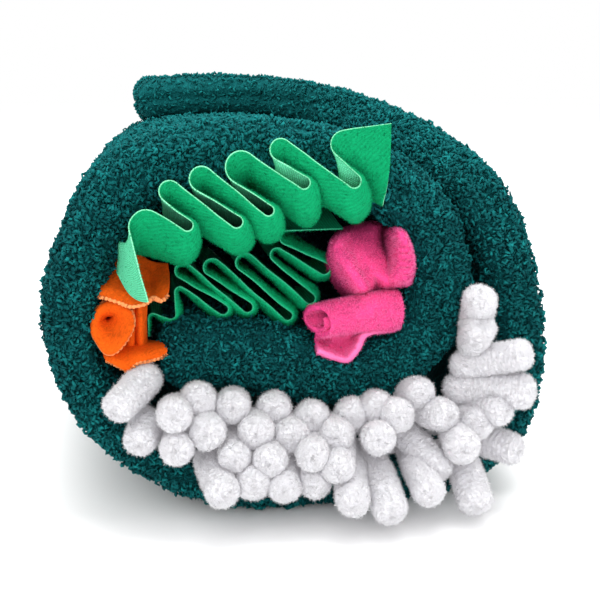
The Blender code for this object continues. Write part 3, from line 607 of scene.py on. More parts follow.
def move_into(joined, bm):
    """Add a bmesh's shape to another one."""
    part = to_mesh("part", bm)
    joined.from_mesh(part)
    bpy.data.meshes.remove(part)


def add_mesh(name, mesh, materials):
    """Make a smooth piece of a mesh and let it ride on the body."""
    made = bpy.data.objects.new(name, mesh)
    bpy.context.scene.collection.objects.link(made)
    for material in materials:
        mesh.materials.append(material)
    mesh.shade_smooth()
    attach(made, "root")
    return made


def add_piece(name, bm, materials):
    """Make a smooth piece of a bmesh and let it ride on the body."""
    return add_mesh(name, to_mesh(name, bm), materials)


def thicken(piece, thickness):
    """Give a laid cloth its thickness, half of it to each side."""
    shell = piece.modifiers.new("thickness", "SOLIDIFY")
    shell.thickness = thickness
    shell.offset = 0.0
    return shell


def smooth_rows(rows, place):
    """Values between the rows of a table on a smooth curve."""
    rows = np.asarray(rows, float)
    place = np.asarray(place, float)
    last = len(rows) - 1
    row = np.clip(place.astype(int), 0, last - 1)
    t = (place - row)[:, None]

    def pick(step):
        return rows[np.clip(row + step, 0, last)]

    return 0.5 * (pick(-1) * (-t + 2 * t**2 - t**3) + pick(0) * (2 - 5 * t**2 + 3 * t**3)
                  + pick(1) * (t + 4 * t**2 - 3 * t**3) + pick(2) * (t**3 - t**2))


def mat_frame(place):
    """The mat's middle: table values, run and outward direction at each place."""
    here = smooth_rows(MAT_ROWS, place)
    after = smooth_rows(MAT_ROWS, np.minimum(place + 0.02, LAST_ROW))
    before = smooth_rows(MAT_ROWS, np.maximum(place - 0.02, 0))
    run = np.zeros((len(place), 3))
    run[:, [0, 2]] = (after - before)[:, [MID_X, MID_Z]]
    run /= np.linalg.norm(run, axis=1)[:, None]
    outward = np.stack([run[:, 2], np.zeros(len(place)), -run[:, 0]], axis=1)
    return here, run, outward


def squeeze(points, slide, lift):
    """The roll is narrower and lower towards its back, and tighter inside."""
    share = points[..., 1] / SQUEEZE_DEPTH
    out = points.copy()
    out[..., 0] = points[..., 0] * (1 - BACK_NARROW * share) + slide * share
    out[..., 2] = np.maximum(points[..., 2] * (1 - BACK_LOWER * share) + lift * share, 0.0)
    return out


def mat_section():
    """The section across the mat: share of the half thickness, share of the width, inset."""
    outer = [(share, 0.0, inward) for share, inward in EDGE_ROUND]
    for step in range(1, SPAN_STEPS):
        t = step / SPAN_STEPS
        outer.append((1.0, t, EDGE_DEPTH - 2 * EDGE_DEPTH * t))
    outer += [(share, 1.0, -inward) for share, inward in reversed(EDGE_ROUND)]
    inner = [(-share, width, inset) for share, width, inset in reversed(outer[1:-1])]
    return np.array(outer + inner + outer[:1])


def mat_stations():
    """Where the mat is cut along its length: place, shift, thinning and shortening."""
    start = []
    for degrees in range(0, 91, 10):
        turn = math.radians(degrees)
        thin = 0.25 + 0.75 * math.cos(turn)
        start.append((0.0, END_ROUND * (1 - math.sin(turn)), thin, END_ROUND * 0.5 * (1 - math.cos(turn))))
    start.append((0.0, SEAM_DEPTH, 0.12, END_ROUND * 0.6))
    step = 1 / ROW_STEPS
    middle = [(place, 0.0, 1.0, 0.0) for place in np.arange(0.5 + step, LAST_ROW - 0.5, step)]
    finish = [(float(LAST_ROW), -shift, thin, short) for _, shift, thin, short in start]
    return np.array(start[::-1] + middle + finish)


def mat_skin():
    """Places and outward normals over the whole mat, and which part each belongs to."""
    place, shift, thin, short = mat_stations().T
    here, run, outward = mat_frame(place)
    share, width, inset = mat_section().T
    half = 0.5 * here[:, THICK] * thin
    front = here[:, FRONT] + short
    back = ROLL_LENGTH + here[:, BACK] - short
    y = front[:, None] + (back - front)[:, None] * width[None] + inset[None]
    offset = share[None] * half[:, None]
    grown = 1 + here[:, SWELL, None] / (0.5 * here[:, THICK, None]) * y / SQUEEZE_DEPTH
    offset = np.where(offset < 0, offset * grown, offset)
    points = np.zeros((len(place), len(share), 3))
    points[..., [0, 2]] = here[:, None, [MID_X, MID_Z]]
    points += run[:, None] * shift[:, None, None] + outward[:, None] * offset[..., None]
    points[..., 1] = y
    points = squeeze(points, here[:, SLIDE, None], here[:, LIFT, None])
    along = np.gradient(points, axis=0)
    round_it = np.gradient(points, axis=1)
    round_it[:, 0] = round_it[:, -1] = points[:, 1] - points[:, -2]
    normals = np.cross(along, round_it)
    normals /= np.maximum(np.linalg.norm(normals, axis=2), 1e-9)[..., None]
    middle, outer = len(place) // 2, len(EDGE_ROUND) + SPAN_STEPS // 2
    if np.dot(normals[middle, outer], outward[middle]) < 0:
        normals = -normals
    from_edge = np.minimum(y - front[:, None], back[:, None] - y)
    place, share = np.broadcast_to(place[:, None], y.shape), np.broadcast_to(share, y.shape)
    return points, normals, place, share, from_edge


def lumps(points, scale, seed):
    """Smooth noise from -1 to 1 at each place, with lumps of that size in mm."""
    flat = points.reshape(-1, 3) / scale + seed
    return np.array([noise.noise(Vector(p)) for p in flat]).reshape(points.shape[:-1])


def yarn_curl(sweep, steps, radius, yarn, lean):
    """One loop of yarn standing on the ground, as a closed tube of three sides.

    lean: how many radii it moves aside on its way round."""
    lean = lean * radius
    bm = bmesh.new()
    circle = bmesh.ops.create_circle(bm, cap_ends=False, segments=3, radius=yarn)
    bmesh.ops.translate(bm, verts=circle["verts"], vec=(radius, 0, 0))
    edges = list({edge for vert in circle["verts"] for edge in vert.link_edges})
    bmesh.ops.spin(bm, geom=circle["verts"] + edges, cent=(0, 0, 0), axis=(0, 1, 0), angle=-sweep,
                   steps=steps, dvec=(0, lean / steps, 0), use_merge=False, use_duplicate=False)
    bmesh.ops.rotate(bm, verts=bm.verts, cent=(0, 0, 0),
                     matrix=Matrix.Rotation(-(math.pi - sweep) / 2, 3, "Y"))
    bmesh.ops.holes_fill(bm, edges=bm.edges, sides=3)
    bmesh.ops.recalc_face_normals(bm, faces=bm.faces)
    bmesh.ops.translate(bm, verts=bm.verts, vec=(0, -lean / 2, radius * 0.75))
    return bm


def template_arrays(bm):
    """A small shape's places and triangles, ready to be repeated."""
    bmesh.ops.triangulate(bm, faces=bm.faces)
    bm.verts.index_update()
    places = np.array([vert.co[:] for vert in bm.verts])
    corners = np.array([[vert.index for vert in face.verts] for face in bm.faces])
    bm.free()
    return places, corners


def repeated(name, shapes, picks, seats, axes, scales, tones):
    """Many copies of small shapes joined into one mesh, with their tip and tone.

    seats: metres; axes: three directions for each copy, as columns."""
    all_places, all_corners, all_tips, all_tones = [], [], [], []
    start = 0
    for index, (places, corners) in enumerate(shapes):
        mine = np.flatnonzero(picks == index)
        if not len(mine):
            continue
        put = np.einsum("nij,vj->nvi", axes[mine], places) * scales[mine][:, None, None]
        put += seats[mine][:, None]
        height = places[:, 2]
        tip = np.clip((height - height.min()) / max(height.max() - height.min(), 1e-9), 0, 1)
        all_places.append(put.reshape(-1, 3))
        offsets = start + np.arange(len(mine)) * len(places)
        all_corners.append((corners[None] + offsets[:, None, None]).reshape(-1, 3))
        all_tips.append(np.tile(tip, len(mine)))
        all_tones.append(np.repeat(tones[mine], len(places)))
        start += len(mine) * len(places)
    places = np.concatenate(all_places)
    places[:, 2] = np.maximum(places[:, 2], 0.0002)
    corners = np.concatenate(all_corners)
    mesh = bpy.data.meshes.new(name)
    mesh.vertices.add(len(places))
    mesh.vertices.foreach_set("co", places.ravel())
    mesh.loops.add(corners.size)
    mesh.loops.foreach_set("vertex_index", corners.ravel())
    mesh.polygons.add(len(corners))
    mesh.polygons.foreach_set("loop_start", np.arange(0, corners.size, 3))
    mesh.update(calc_edges=True)
    for label, values in (("tip", all_tips), ("tone", all_tones)):
        attribute = mesh.attributes.new(label, "FLOAT", "POINT")
        attribute.data.foreach_set("value", np.concatenate(values).astype(np.float32))
    return mesh


def standing_axes(normals, rng, lean):
    """Three directions for each copy: it stands on its ground, leaning at random."""
    count = len(normals)
    up = normals + rng.normal(0, lean, (count, 3))
    up /= np.linalg.norm(up, axis=1)[:, None]
    side = np.cross(up, rng.normal(0, 1, (count, 3)))
    side /= np.maximum(np.linalg.norm(side, axis=1), 1e-9)[:, None]
    return np.stack([side, np.cross(up, side), up], axis=2)


def spread(points, normals, density, rng):
    """Random seats on a skin: each quad has density seats per square millimetre."""
    across = np.linalg.norm(np.diff(points, axis=1), axis=2)[:-1]
    down = np.linalg.norm(np.diff(points, axis=0), axis=2)[:, :-1]
    wanted = np.cumsum((across * down * density[:-1, :-1]).ravel())
    count = int(wanted[-1])
    picked = np.searchsorted(wanted, np.arange(count) + rng.random(count))
    picked = np.minimum(picked, len(wanted) - 1)
    row, column = np.divmod(picked, across.shape[1])
    u, v = rng.random(count)[:, None], rng.random(count)[:, None]

    def blend(values):
        return ((values[row, column] * (1 - u) + values[row, column + 1] * u) * (1 - v)
                + (values[row + 1, column] * (1 - u) + values[row + 1, column + 1] * u) * v)

    turned = blend(normals)
    turned /= np.maximum(np.linalg.norm(turned, axis=1), 1e-9)[:, None]
    return blend(points), turned


def cloth_normals(points):
    """Directions square to a cloth at each of its places."""
    normals = np.cross(np.gradient(points, axis=1), np.gradient(points, axis=0))
    return normals / np.maximum(np.linalg.norm(normals, axis=2), 1e-9)[..., None]


def short_fibre(radius, length):
    """A thin pointed fibre, ready to be repeated."""
    bm = bmesh.new()
    bmesh.ops.create_cone(bm, cap_ends=False, segments=3, radius1=radius, radius2=0.0, depth=length)
    bmesh.ops.remove_doubles(bm, verts=bm.verts, dist=radius * 0.1)
    return template_arrays(bm)


def from_the_front(seats, most):
    """Seats from the front to the back, in pieces of at most so many."""
    order = np.argsort(seats[:, 1], kind="stable")
    return np.array_split(order, max(1, math.ceil(len(order) / most)))


def planted(name, shapes, seats, turned, rng, lean, scales=(0.6, 1.3), tone=(1.0, 0.0, 1.0)):
    """Copies of small shapes on their seats, each leaning, sized and toned at random.

    tone: the share that is random, what is added to it, and the most that it may be."""
    count = len(seats)
    axes = standing_axes(turned, rng, lean)
    sizes = rng.uniform(*scales, count)
    picks = rng.integers(0, len(shapes), count) if len(shapes) > 1 else np.zeros(count, int)
    share, added, top = tone
    tones = np.clip(rng.random(count) * share + added, 0, top)
    return repeated(name, shapes, picks, to_metres(seats), axes, sizes, tones)


def smooth_path(stops, marks):
    """Places on a smooth curve through the stops at the marks, from 0 to 1 of its length."""
    fine = smooth_rows(stops, np.linspace(0, len(stops) - 1, 40 * len(stops)))
    length = np.concatenate([[0], np.cumsum(np.linalg.norm(np.diff(fine[:, :3], axis=0), axis=1))])
    even = marks * length[-1]
    return np.stack([np.interp(even, length, fine[:, k]) for k in range(fine.shape[1])], axis=1), even


def loop_offset(row, wider):
    """How far a ruffle's line passes to the side of a row's centre."""
    return row[3] * (row[2] + wider[row[3]] * (row[2] > 0))


def loop_headings(rows, wider):
    """The heading of the straight stretch between each two rows of a ruffle."""
    found = []
    for one, two in zip(rows, rows[1:]):
        dx, dz = two[0] - one[0], two[1] - one[1]
        side = loop_offset(one, wider) - loop_offset(two, wider)
        found.append(math.atan2(dz, dx) + math.asin(side / math.hypot(dx, dz)))
    return found


def loop_sweep(row, came, leaves):
    """How far a ruffle turns round a row, the way that the row says."""
    sweep = (leaves - came) % (2 * math.pi)
    return sweep - 2 * math.pi if row[3] < 0 else sweep


def serpentine(rows, edge_y, growth, arc_step, straight_step):
    """Lines of a ruffle that runs round its loops in turn, and its reach there.

    growth: for each line, how much wider its lower loops and its upper ones are."""
    first = loop_headings(rows, {1: 0.0, -1: 0.0})
    counts = [max(4, round(abs(loop_sweep(row, came, leaves)) / arc_step))
              for row, came, leaves in zip(rows[1:-1], first, first[1:])]
    lines, reach, pieces = [], [], None
    for lower, upper in growth:
        wider = {1: lower, -1: upper}
        headings = loop_headings(rows, wider)
        corners = [(rows[0], headings[0])]
        for row, came, leaves, count in zip(rows[1:-1], headings, headings[1:], counts):
            sweep = loop_sweep(row, came, leaves)
            corners += [(row, came + sweep * i / count) for i in range(count + 1)]
        corners.append((rows[-1], headings[-1]))
        line, ends = [], []
        for row, heading in corners:
            offset = loop_offset(row, wider)
            line.append((row[0] + offset * math.sin(heading), edge_y, row[1] - offset * math.cos(heading)))
            ends.append(row[4:7])
        line, ends = np.array(line, float), np.array(ends, float)
        if pieces is None:
            steps = np.linalg.norm(np.diff(line, axis=0), axis=1)
            pieces = [max(1, round(float(step) / straight_step)) for step in steps]
        whole = [k + i / n for k, n in enumerate(pieces) for i in range(n)] + [len(pieces)]
        for kept, values in ((lines, line), (reach, ends)):
            kept.append(np.stack([np.interp(whole, np.arange(len(line)), axis) for axis in values.T], axis=1))
    return np.array(lines), np.array(reach)


def quilted(table, down, across):
    """Places on a smooth cloth over a table of rows, so many down and across."""
    wide = np.stack([smooth_rows(row, np.linspace(0, len(row) - 1, across)) for row in table])
    marks = np.linspace(0, len(table) - 1, down)
    return np.stack([smooth_rows(wide[:, k], marks) for k in range(across)], axis=1)


def line_length(line):
    """How long a line of places is, in millimetres."""
    return float(np.linalg.norm(np.diff(line, axis=0), axis=1).sum())


def cloth_size(points):
    """How long a laid cloth is across its first row and down its first column."""
    return line_length(points[0]), line_length(points[:, 0])


def declare_sheet(points):
    """Work out the size and area that a sheet was cut to; the results are not used."""
    a, b, c, d = points[:-1, :-1], points[:-1, 1:], points[1:, :-1], points[1:, 1:]
    halves = np.linalg.norm(np.cross(b - a, c - a), axis=2) + np.linalg.norm(np.cross(b - d, c - d), axis=2)
    area = float(halves.sum()) * 0.5 * MM * MM
    width = max(line_length(row) for row in points) * MM
    length = max(line_length(column) for column in points.swapaxes(0, 1)) * MM
    if area < 0.35 * width * length:        # a cup: cut from a round
        width = length = math.sqrt(area / 0.785)


# ---- Operators -----------------------------------------------------------


class SNUFFLE_OT_mat(bpy.types.Operator):
    """Build the padded mat's ground and the curls of its boucle yarn"""
    bl_idname = "snuffle.mat"
    bl_label = "Mat and boucle"

    def execute(self, context):
        sizes, colours = context.scene.snuffle_sizes, context.scene.snuffle_colours
        points, normals, place, share, from_edge = mat_skin()
        skin = self.ground_skin(points, normals, place, share, from_edge, sizes)
        bm = laid_grid(skin, MAT_MAP)
        close_up(bm)
        cover = add_piece("mat_cover", bm, [boucle_ground(colours)])
        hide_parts("mat")
        rng = np.random.default_rng(7)
        yarn = boucle_yarn(colours)
        rate = (MM / sizes.curl_spacing) ** 2
        wanted = self.pile_rates(points, place, share, from_edge)
        self.curls(skin, normals, wanted * rate, yarn, sizes, rng)
        self.hairs(skin, normals, wanted * HAIRS, yarn, rng)
        return {"FINISHED"}

    def ground_skin(self, points, normals, place, share, from_edge, sizes):
        """The ground's places: lumpy, sunk under the solid's face, and full on the ceiling."""
        height = sum(lumps(points, size, seed) * part for size, seed, part in LUMPS)
        first, last = CEILING
        full = np.clip((place - first) / CEILING_FADE, 0, 1) * np.clip((last - place) / CEILING_FADE, 0, 1)
        full = CEILING_SWELL * full * (share < -FACE) * np.clip(from_edge / EDGE_DEPTH, 0, 1)
        skin = points + normals * (height * sizes.lump_height / MM + full - GROUND_SINK)[..., None]
        skin[..., 2] = np.maximum(skin[..., 2], GROUND_LOWEST)
        return skin

    def pile_rates(self, points, place, share, from_edge):
        """Curls wanted on each square of the spacing: many in front, none where hidden."""
        outer, inner, hidden = share > FACE, share < -FACE, from_edge > SEEN_INTO
        edge_face, front = np.abs(share) <= EDGE_FACE, points[..., 1] < FRONT_HALF
        wanted = np.full(place.shape, PILE_ELSEWHERE)
        wanted[outer & (place < INNER_TURN) & hidden] = 0.0
        wanted[inner & (place > FIRST_TURN) & hidden] = 0.0
        wanted[outer & (place >= UNDERSIDE[0]) & (place <= UNDERSIDE[1])] = PILE_UNDERSIDE
        wanted[outer & front & (place >= SHOWN_TURN[0]) & (place < SHOWN_TURN[1])] = PILE_FIRST_TURN
        wanted[outer & (place > FREE_END)] = PILE_FREE_END
        wanted[edge_face] = PILE_EDGE
        wanted[(from_edge < NEAR_EDGE) & front] = PILE_NEAR_FRONT
        wanted[edge_face & front] = PILE_FRONT_EDGE
        return wanted

    def curls(self, skin, normals, density, yarn, sizes, rng):
        """Loops of yarn in clumps, in several pieces from the front to the back."""
        seats, turned = spread(skin, normals, density, rng)
        clump = np.clip(lumps(seats, 2.4, 31.0) * 1.3 + lumps(seats, 5.5, 17.0) * 0.7, -1, 1)
        seats = seats + turned * (clump * 0.75)[:, None]
        shapes = [template_arrays(yarn_curl(sweep, steps, sizes.curl_radius, sizes.yarn_radius, lean))
                  for sweep, lean, steps in CURLS]
        for index, mine in enumerate(from_the_front(seats, CURLS_A_PIECE)):
            # Painted light and shade: curls on raised clumps get a lighter tone, those in the dips a darker
            # one.
            mesh = planted("boucle_curls_%d" % (index + 1), shapes, seats[mine], turned[mine], rng, 0.55,
                           (0.65, 1.5), (0.55, 0.25 + clump[mine] * 0.45, 1.2))
            add_mesh(mesh.name, mesh, [yarn])

    def hairs(self, skin, normals, density, yarn, rng):
        """Single hairs that stand out between the curls."""
        seats, turned = spread(skin, normals, density, rng)
        hair = short_fibre(0.00009, 0.002)
        for index, mine in enumerate(from_the_front(seats, HAIRS_A_PIECE)):
            mesh = planted("boucle_fuzz_%d" % (index + 1), [hair], seats[mine] + turned[mine] * 0.7,
                           turned[mine], rng, 0.75)
            add_mesh(mesh.name, mesh, [yarn])


class SNUFFLE_OT_noodles(bpy.types.Operator):
    """Build the white chenille noodles between the turns of the mat"""
    bl_idname = "snuffle.noodles"
    bl_label = "Chenille noodles"

    def execute(self, context):
        sizes, colours = context.scene.snuffle_sizes, context.scene.snuffle_colours
        finish = chenille_yarn(colours)
        rng = np.random.default_rng(21)
        blade = short_fibre(0.00016, 0.0017)
        for group in NOODLE_GROUPS:
            self.build_group(*group, sizes, finish, blade, rng)
        return {"FINISHED"}

    def seat(self, place, height, y):
        """A place over the mat's inner face, and the run of the mat there."""
        here, run, outward = mat_frame(np.array([place]))
        point = -outward * (0.5 * here[0, THICK] + height)
        point[0, [0, 2]] += here[0, [MID_X, MID_Z]]
        point[0, 1] = y
        return squeeze(point, here[:, SLIDE], here[:, LIFT])[0], run[0]

    def build_group(self, name, depth, first, last, level, reach, strands, sizes, finish, blade, rng):
        """One row of noodles on its strip, with their pile, as one piece."""
        at_back = name == "noodles_back"
        out, edge = (1, ROLL_LENGTH) if at_back else (-1, 0.0)
        seats, normals = [], []
        joined = bmesh.new()
        joined.loops.layers.uv.new("UVMap")
        for (mx, mz, tx, tz), place in zip(strands, np.linspace(first, last, len(strands))):
            root, run = self.seat(place, 1.2, edge - out * (depth + 0.5 * STRIP_WIDTH))
            mouth = np.array((mx, edge + out * 0.5, mz))
            tip = np.array((tx, edge + out * reach * rng.uniform(0.84, 1.14), tz))
            points, turned = self.noodle(root, mouth, tip, run, level, sizes, rng)
            bm = laid_grid(points, (34.0, 60.0))
            close_up(bm, fill=False)
            move_into(joined, bm)
            shown = out * (points[..., 1] - edge) > -4
            some, facing = spread(points, turned, shown * PILE_ON_NOODLES, rng)
            seats.append(some)
            normals.append(facing)
        move_into(joined, self.strip(first, last, edge - out * depth, -out * STRIP_WIDTH, len(strands)))
        seats, normals = np.concatenate(seats), np.concatenate(normals)
        pile = planted("pile", [blade], seats + normals * 0.15, normals, rng, 0.5, (0.6, 1.25))
        body = to_mesh("body", joined)
        # The body under the pile is given a low tip, for the painted shade under the fibres.
        tips = body.attributes.new("tip", "FLOAT", "POINT")
        tips.data.foreach_set("value", np.full(len(body.vertices), 0.35, np.float32))
        base = add_mesh("chenille_" + name, body, [finish])
        extra = add_mesh("pile", pile, [finish])
        with bpy.context.temp_override(active_object=base, selected_editable_objects=[base, extra]):
            bpy.ops.object.join()
        base.data.shade_smooth()
        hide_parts(name)

    def strip(self, first, last, y, width, count):
        """The backing strip that follows the mat's inner face behind its noodles."""
        places = np.linspace(first - 0.35, last + 0.35, 6 + 6 * count)
        low, high = STRIP_HEIGHTS
        corners = ((low, y), (low, y + width), (high, y + width), (high, y), (low, y))
        rows = [[self.seat(place, height, depth)[0] for place in places] for height, depth in corners]
        bm = laid_grid(np.array(rows), (STRIP_WIDTH, 60.0))
        close_up(bm)
        return bm

    def noodle(self, root, mouth, tip, run, level, sizes, rng):
        """Places and outward directions over one noodle, from its root to its tip."""
        full = sizes.noodle_radius / MM * float(rng.uniform(0.92, 1.06))
        ahead = tip - mouth
        stops = np.array([
            (*root, 3.0, 1.0), (*(root + (mouth - root) * 0.6), 3.6, 1.5), (*mouth, 4.6, 3.4),
            (*(mouth + ahead * 0.33), 5.1, 4.8), (*(mouth + ahead * 0.66), full, full),
            (*tip, full, full),
        ])
        cap = 0.68 * full / line_length(stops[:, :3])
        turns = np.linspace(0, 0.5 * math.pi, DOME_STEPS)
        marks = np.concatenate([np.linspace(0, 1 - cap, NOODLE_STEPS)[:-1], 1 - cap + cap * np.sin(turns)])
        dome = np.concatenate([np.ones(NOODLE_STEPS - 1), np.clip(np.cos(turns), 0, 1) ** 0.8])
        dome[-1] = 0.0
        path, length = smooth_path(stops, marks)
        ahead_of = np.gradient(path[:, :3], axis=0)
        ahead_of /= np.linalg.norm(ahead_of, axis=1)[:, None]
        ahead_of[NOODLE_STEPS - 1:] = ahead_of[NOODLE_STEPS - 2]
        turning = np.clip(np.linspace(0, 3, len(marks)), 0, 1)[:, None] * level
        runs = run * (1 - turning) + np.array((1.0, 0, 0)) * turning
        side = runs - ahead_of * np.sum(runs * ahead_of, axis=1)[:, None]
        side /= np.linalg.norm(side, axis=1)[:, None]
        high = np.cross(ahead_of, side)
        phase = 2 * math.pi * length / (sizes.ring_pitch / MM) + rng.uniform(0, 6)
        size = dome * (1 + 0.045 * np.cos(phase) * np.clip(length / length[-1] * 3 - 1, 0, 1))
        around = np.linspace(0, 2 * math.pi, NOODLE_SIDES)
        over = side[:, None] * np.cos(around)[:, None]
        up = high[:, None] * np.sin(around)[:, None]
        wide, tall = (path[:, 3] * size)[:, None, None], (path[:, 4] * size)[:, None, None]
        points = path[:, None, :3] + over * wide + up * tall
        outward = (over + up) * dome[:, None, None]
        outward += ahead_of[:, None] * np.sqrt(1 - dome**2)[:, None, None]
        outward /= np.linalg.norm(outward, axis=2)[..., None]
        rough = lumps(points, 1.3, float(rng.uniform(0, 50))) * 0.32
        rough += lumps(points, 4.5, float(rng.uniform(0, 50))) * 0.35
        rough[-1] = rough[-2].mean()
        rough[:, -1] = rough[:, 0]
        return points + outward * rough[..., None], outward


class SNUFFLE_OT_ribbons(bpy.types.Operator):
    """Build the two ruffled ribbons in the mouth of the tunnel"""
    bl_idname = "snuffle.ribbons"
    bl_label = "Ruffled ribbons"

    def execute(self, context):
        sizes, colours = context.scene.snuffle_sizes, context.scene.snuffle_colours
        # The last colour of each, a lighter velvet, is the painted highlight on the tips of the pile.
        self.ruffle("upper", UPPER_RIBBON, UPPER_RIBBON_Y, sizes, (5.0, 2.8, 3.0, 2.3),
                    (colours.velvet_back, colours.velvet, colours.selvedge, toned(colours.velvet, 1.25)))
        self.ruffle("lower", LOWER_RIBBON, LOWER_RIBBON_Y, sizes, (9.0, 2.6, 1.0, 0.6),
                    (colours.lower_back, colours.lower_velvet, colours.lower_selvedge,
                     toned(colours.lower_velvet, 1.3)))
        return {"FINISHED"}

    def ruffle(self, which, rows, edge_y, sizes, habit, shades):
        """One ribbon with its pile. habit: its seed, how much its loops swell and sag
        behind their near edge, and how much the upper ones are pinched."""
        seed, plump, sag, pinch = habit
        back, velvet, selvedge, tips = shades
        materials = [ribbon_back("ribbon_back_" + which, back, selvedge),
                     ribbon_face("velvet_" + which, velvet, selvedge),
                     ribbon_edge("selvedge_" + which, selvedge)]
        shares = RIBBON_SHARES
        growth = [(plump * swell, -0.35 * plump * swell - pinch * share**1.5)
                  for share, swell in zip(shares, np.sin(math.pi * shares**0.6))]
        near, reach = serpentine(rows, edge_y, growth, math.radians(15), 0.9)
        down = np.cross(reach, (1.0, 0.0, 0.0))
        down /= np.linalg.norm(down, axis=2)[..., None]
        down *= -np.sign(down[..., 2:3])
        points = near + reach * shares[:, None, None] + down * (sag * np.sin(math.pi * shares)[:, None, None])
        wave = lumps(points, 5.0, seed) * 0.45 * np.minimum(shares * 12, 1)[:, None]
        wave = wave + lumps(points[:1], 7.0, seed) * 0.35
        side = np.cross(np.gradient(near, axis=1), reach)
        side /= np.maximum(np.linalg.norm(side, axis=2), 1e-9)[..., None]
        points = points + side * wave[..., None]
        width = float(np.linalg.norm(reach[0], axis=1).mean())
        bm = laid_grid(points, (line_length(near[0]), width))
        ribbon = add_piece("ribbon_ruffle_" + which, bm, materials)
        shell = thicken(ribbon, sizes.ribbon_thickness)
        shell.use_even_offset = False
        shell.material_offset = 1
        shell.material_offset_rim = 2
        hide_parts("ribbon_" + which)
        declare_sheet(points)
        rng = np.random.default_rng(int(seed))
        density = np.full(points.shape[:2], PILE_ON_RIBBONS)
        seats, turned = spread(points, -cloth_normals(points), density, rng)
        fibre = short_fibre(0.0001, 0.0011)
        mesh = planted(ribbon.name + "_pile", [fibre], seats + turned * 0.35, turned, rng, 0.6)
        pile = cut_pile("velvet_pile_" + which, velvet, tips)
        add_mesh(mesh.name, mesh, [pile])


class SNUFFLE_OT_felt(bpy.types.Operator):
    """Build the felt leaves and the felt cup"""
    bl_idname = "snuffle.felt"
    bl_label = "Felt pieces"

    def execute(self, context):
        sizes, colours = context.scene.snuffle_sizes, context.scene.snuffle_colours
        finish = felt_cloth(colours)
        down, across = 26, 60
        for name, node, table in (("felt_petals", "felt_leaf", FELT_PETALS),
                                  ("felt_tongue_fold", "felt_tongue", FELT_FOLD),
                                  ("felt_pleats", None, FELT_PLEATS)):
            points = quilted(table, down, across)
            points[..., 1] += lumps(points, 6.0, 2.0) * 0.5
            if node:
                teeth = np.cos(np.arange(across) * math.pi * 0.7)
                points[0, :, 1:] += np.array((0.45, -0.3)) * teeth[:, None]
            self.cloth(name, node, points, finish, sizes)
        self.cup(finish, sizes)
        return {"FINISHED"}

    def cloth(self, name, node, points, finish, sizes):
        """A piece of felt over its places."""
        bm = laid_grid(points, cloth_size(points))
        bmesh.ops.remove_doubles(bm, verts=bm.verts, dist=0.5 * MERGE)
        piece = add_piece(name, bm, [finish])
        thicken(piece, sizes.felt_thickness)
        if node:
            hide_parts(node)
        declare_sheet(points)

    def cup(self, finish, sizes):
        """A petal rolled in on itself, with a slit in its middle and a pinked rim."""
        rim, _ = smooth_path(np.array(CUP_RIM + CUP_RIM[:1], float), np.linspace(0, 1, CUP_STEPS))
        slit = np.array(CUP_SLIT)
        arms = rim - slit
        points = np.array([slit + arms * (share, share, share * (0.45 + 0.55 * share)) + (0, depth, 0)
                           for share, depth in CUP_ROWS])
        teeth = 0.45 * np.cos(np.arange(CUP_STEPS) * 2 * math.pi / 3.2) * np.clip(arms[:, 0] / 3.0, 0, 1)
        points[0][:, [0, 2]] += (arms / np.linalg.norm(arms, axis=1)[:, None])[:, [0, 2]] * teeth[:, None]
        points[..., 1] += lumps(points, 5.0, 8.0) * 0.4
        points[:, -1] = points[:, 0]
        self.cloth("felt_rolled_petal", "felt_cup", points, finish, sizes)
        wrap = np.array([slit + arms * (share, 1.0, share) + (0, depth, 0) for share, depth in WRAP_ROWS])
        wrap[:, -1] = wrap[:, 0]
        self.cloth("felt_petal_wrap", None, wrap, finish, sizes)


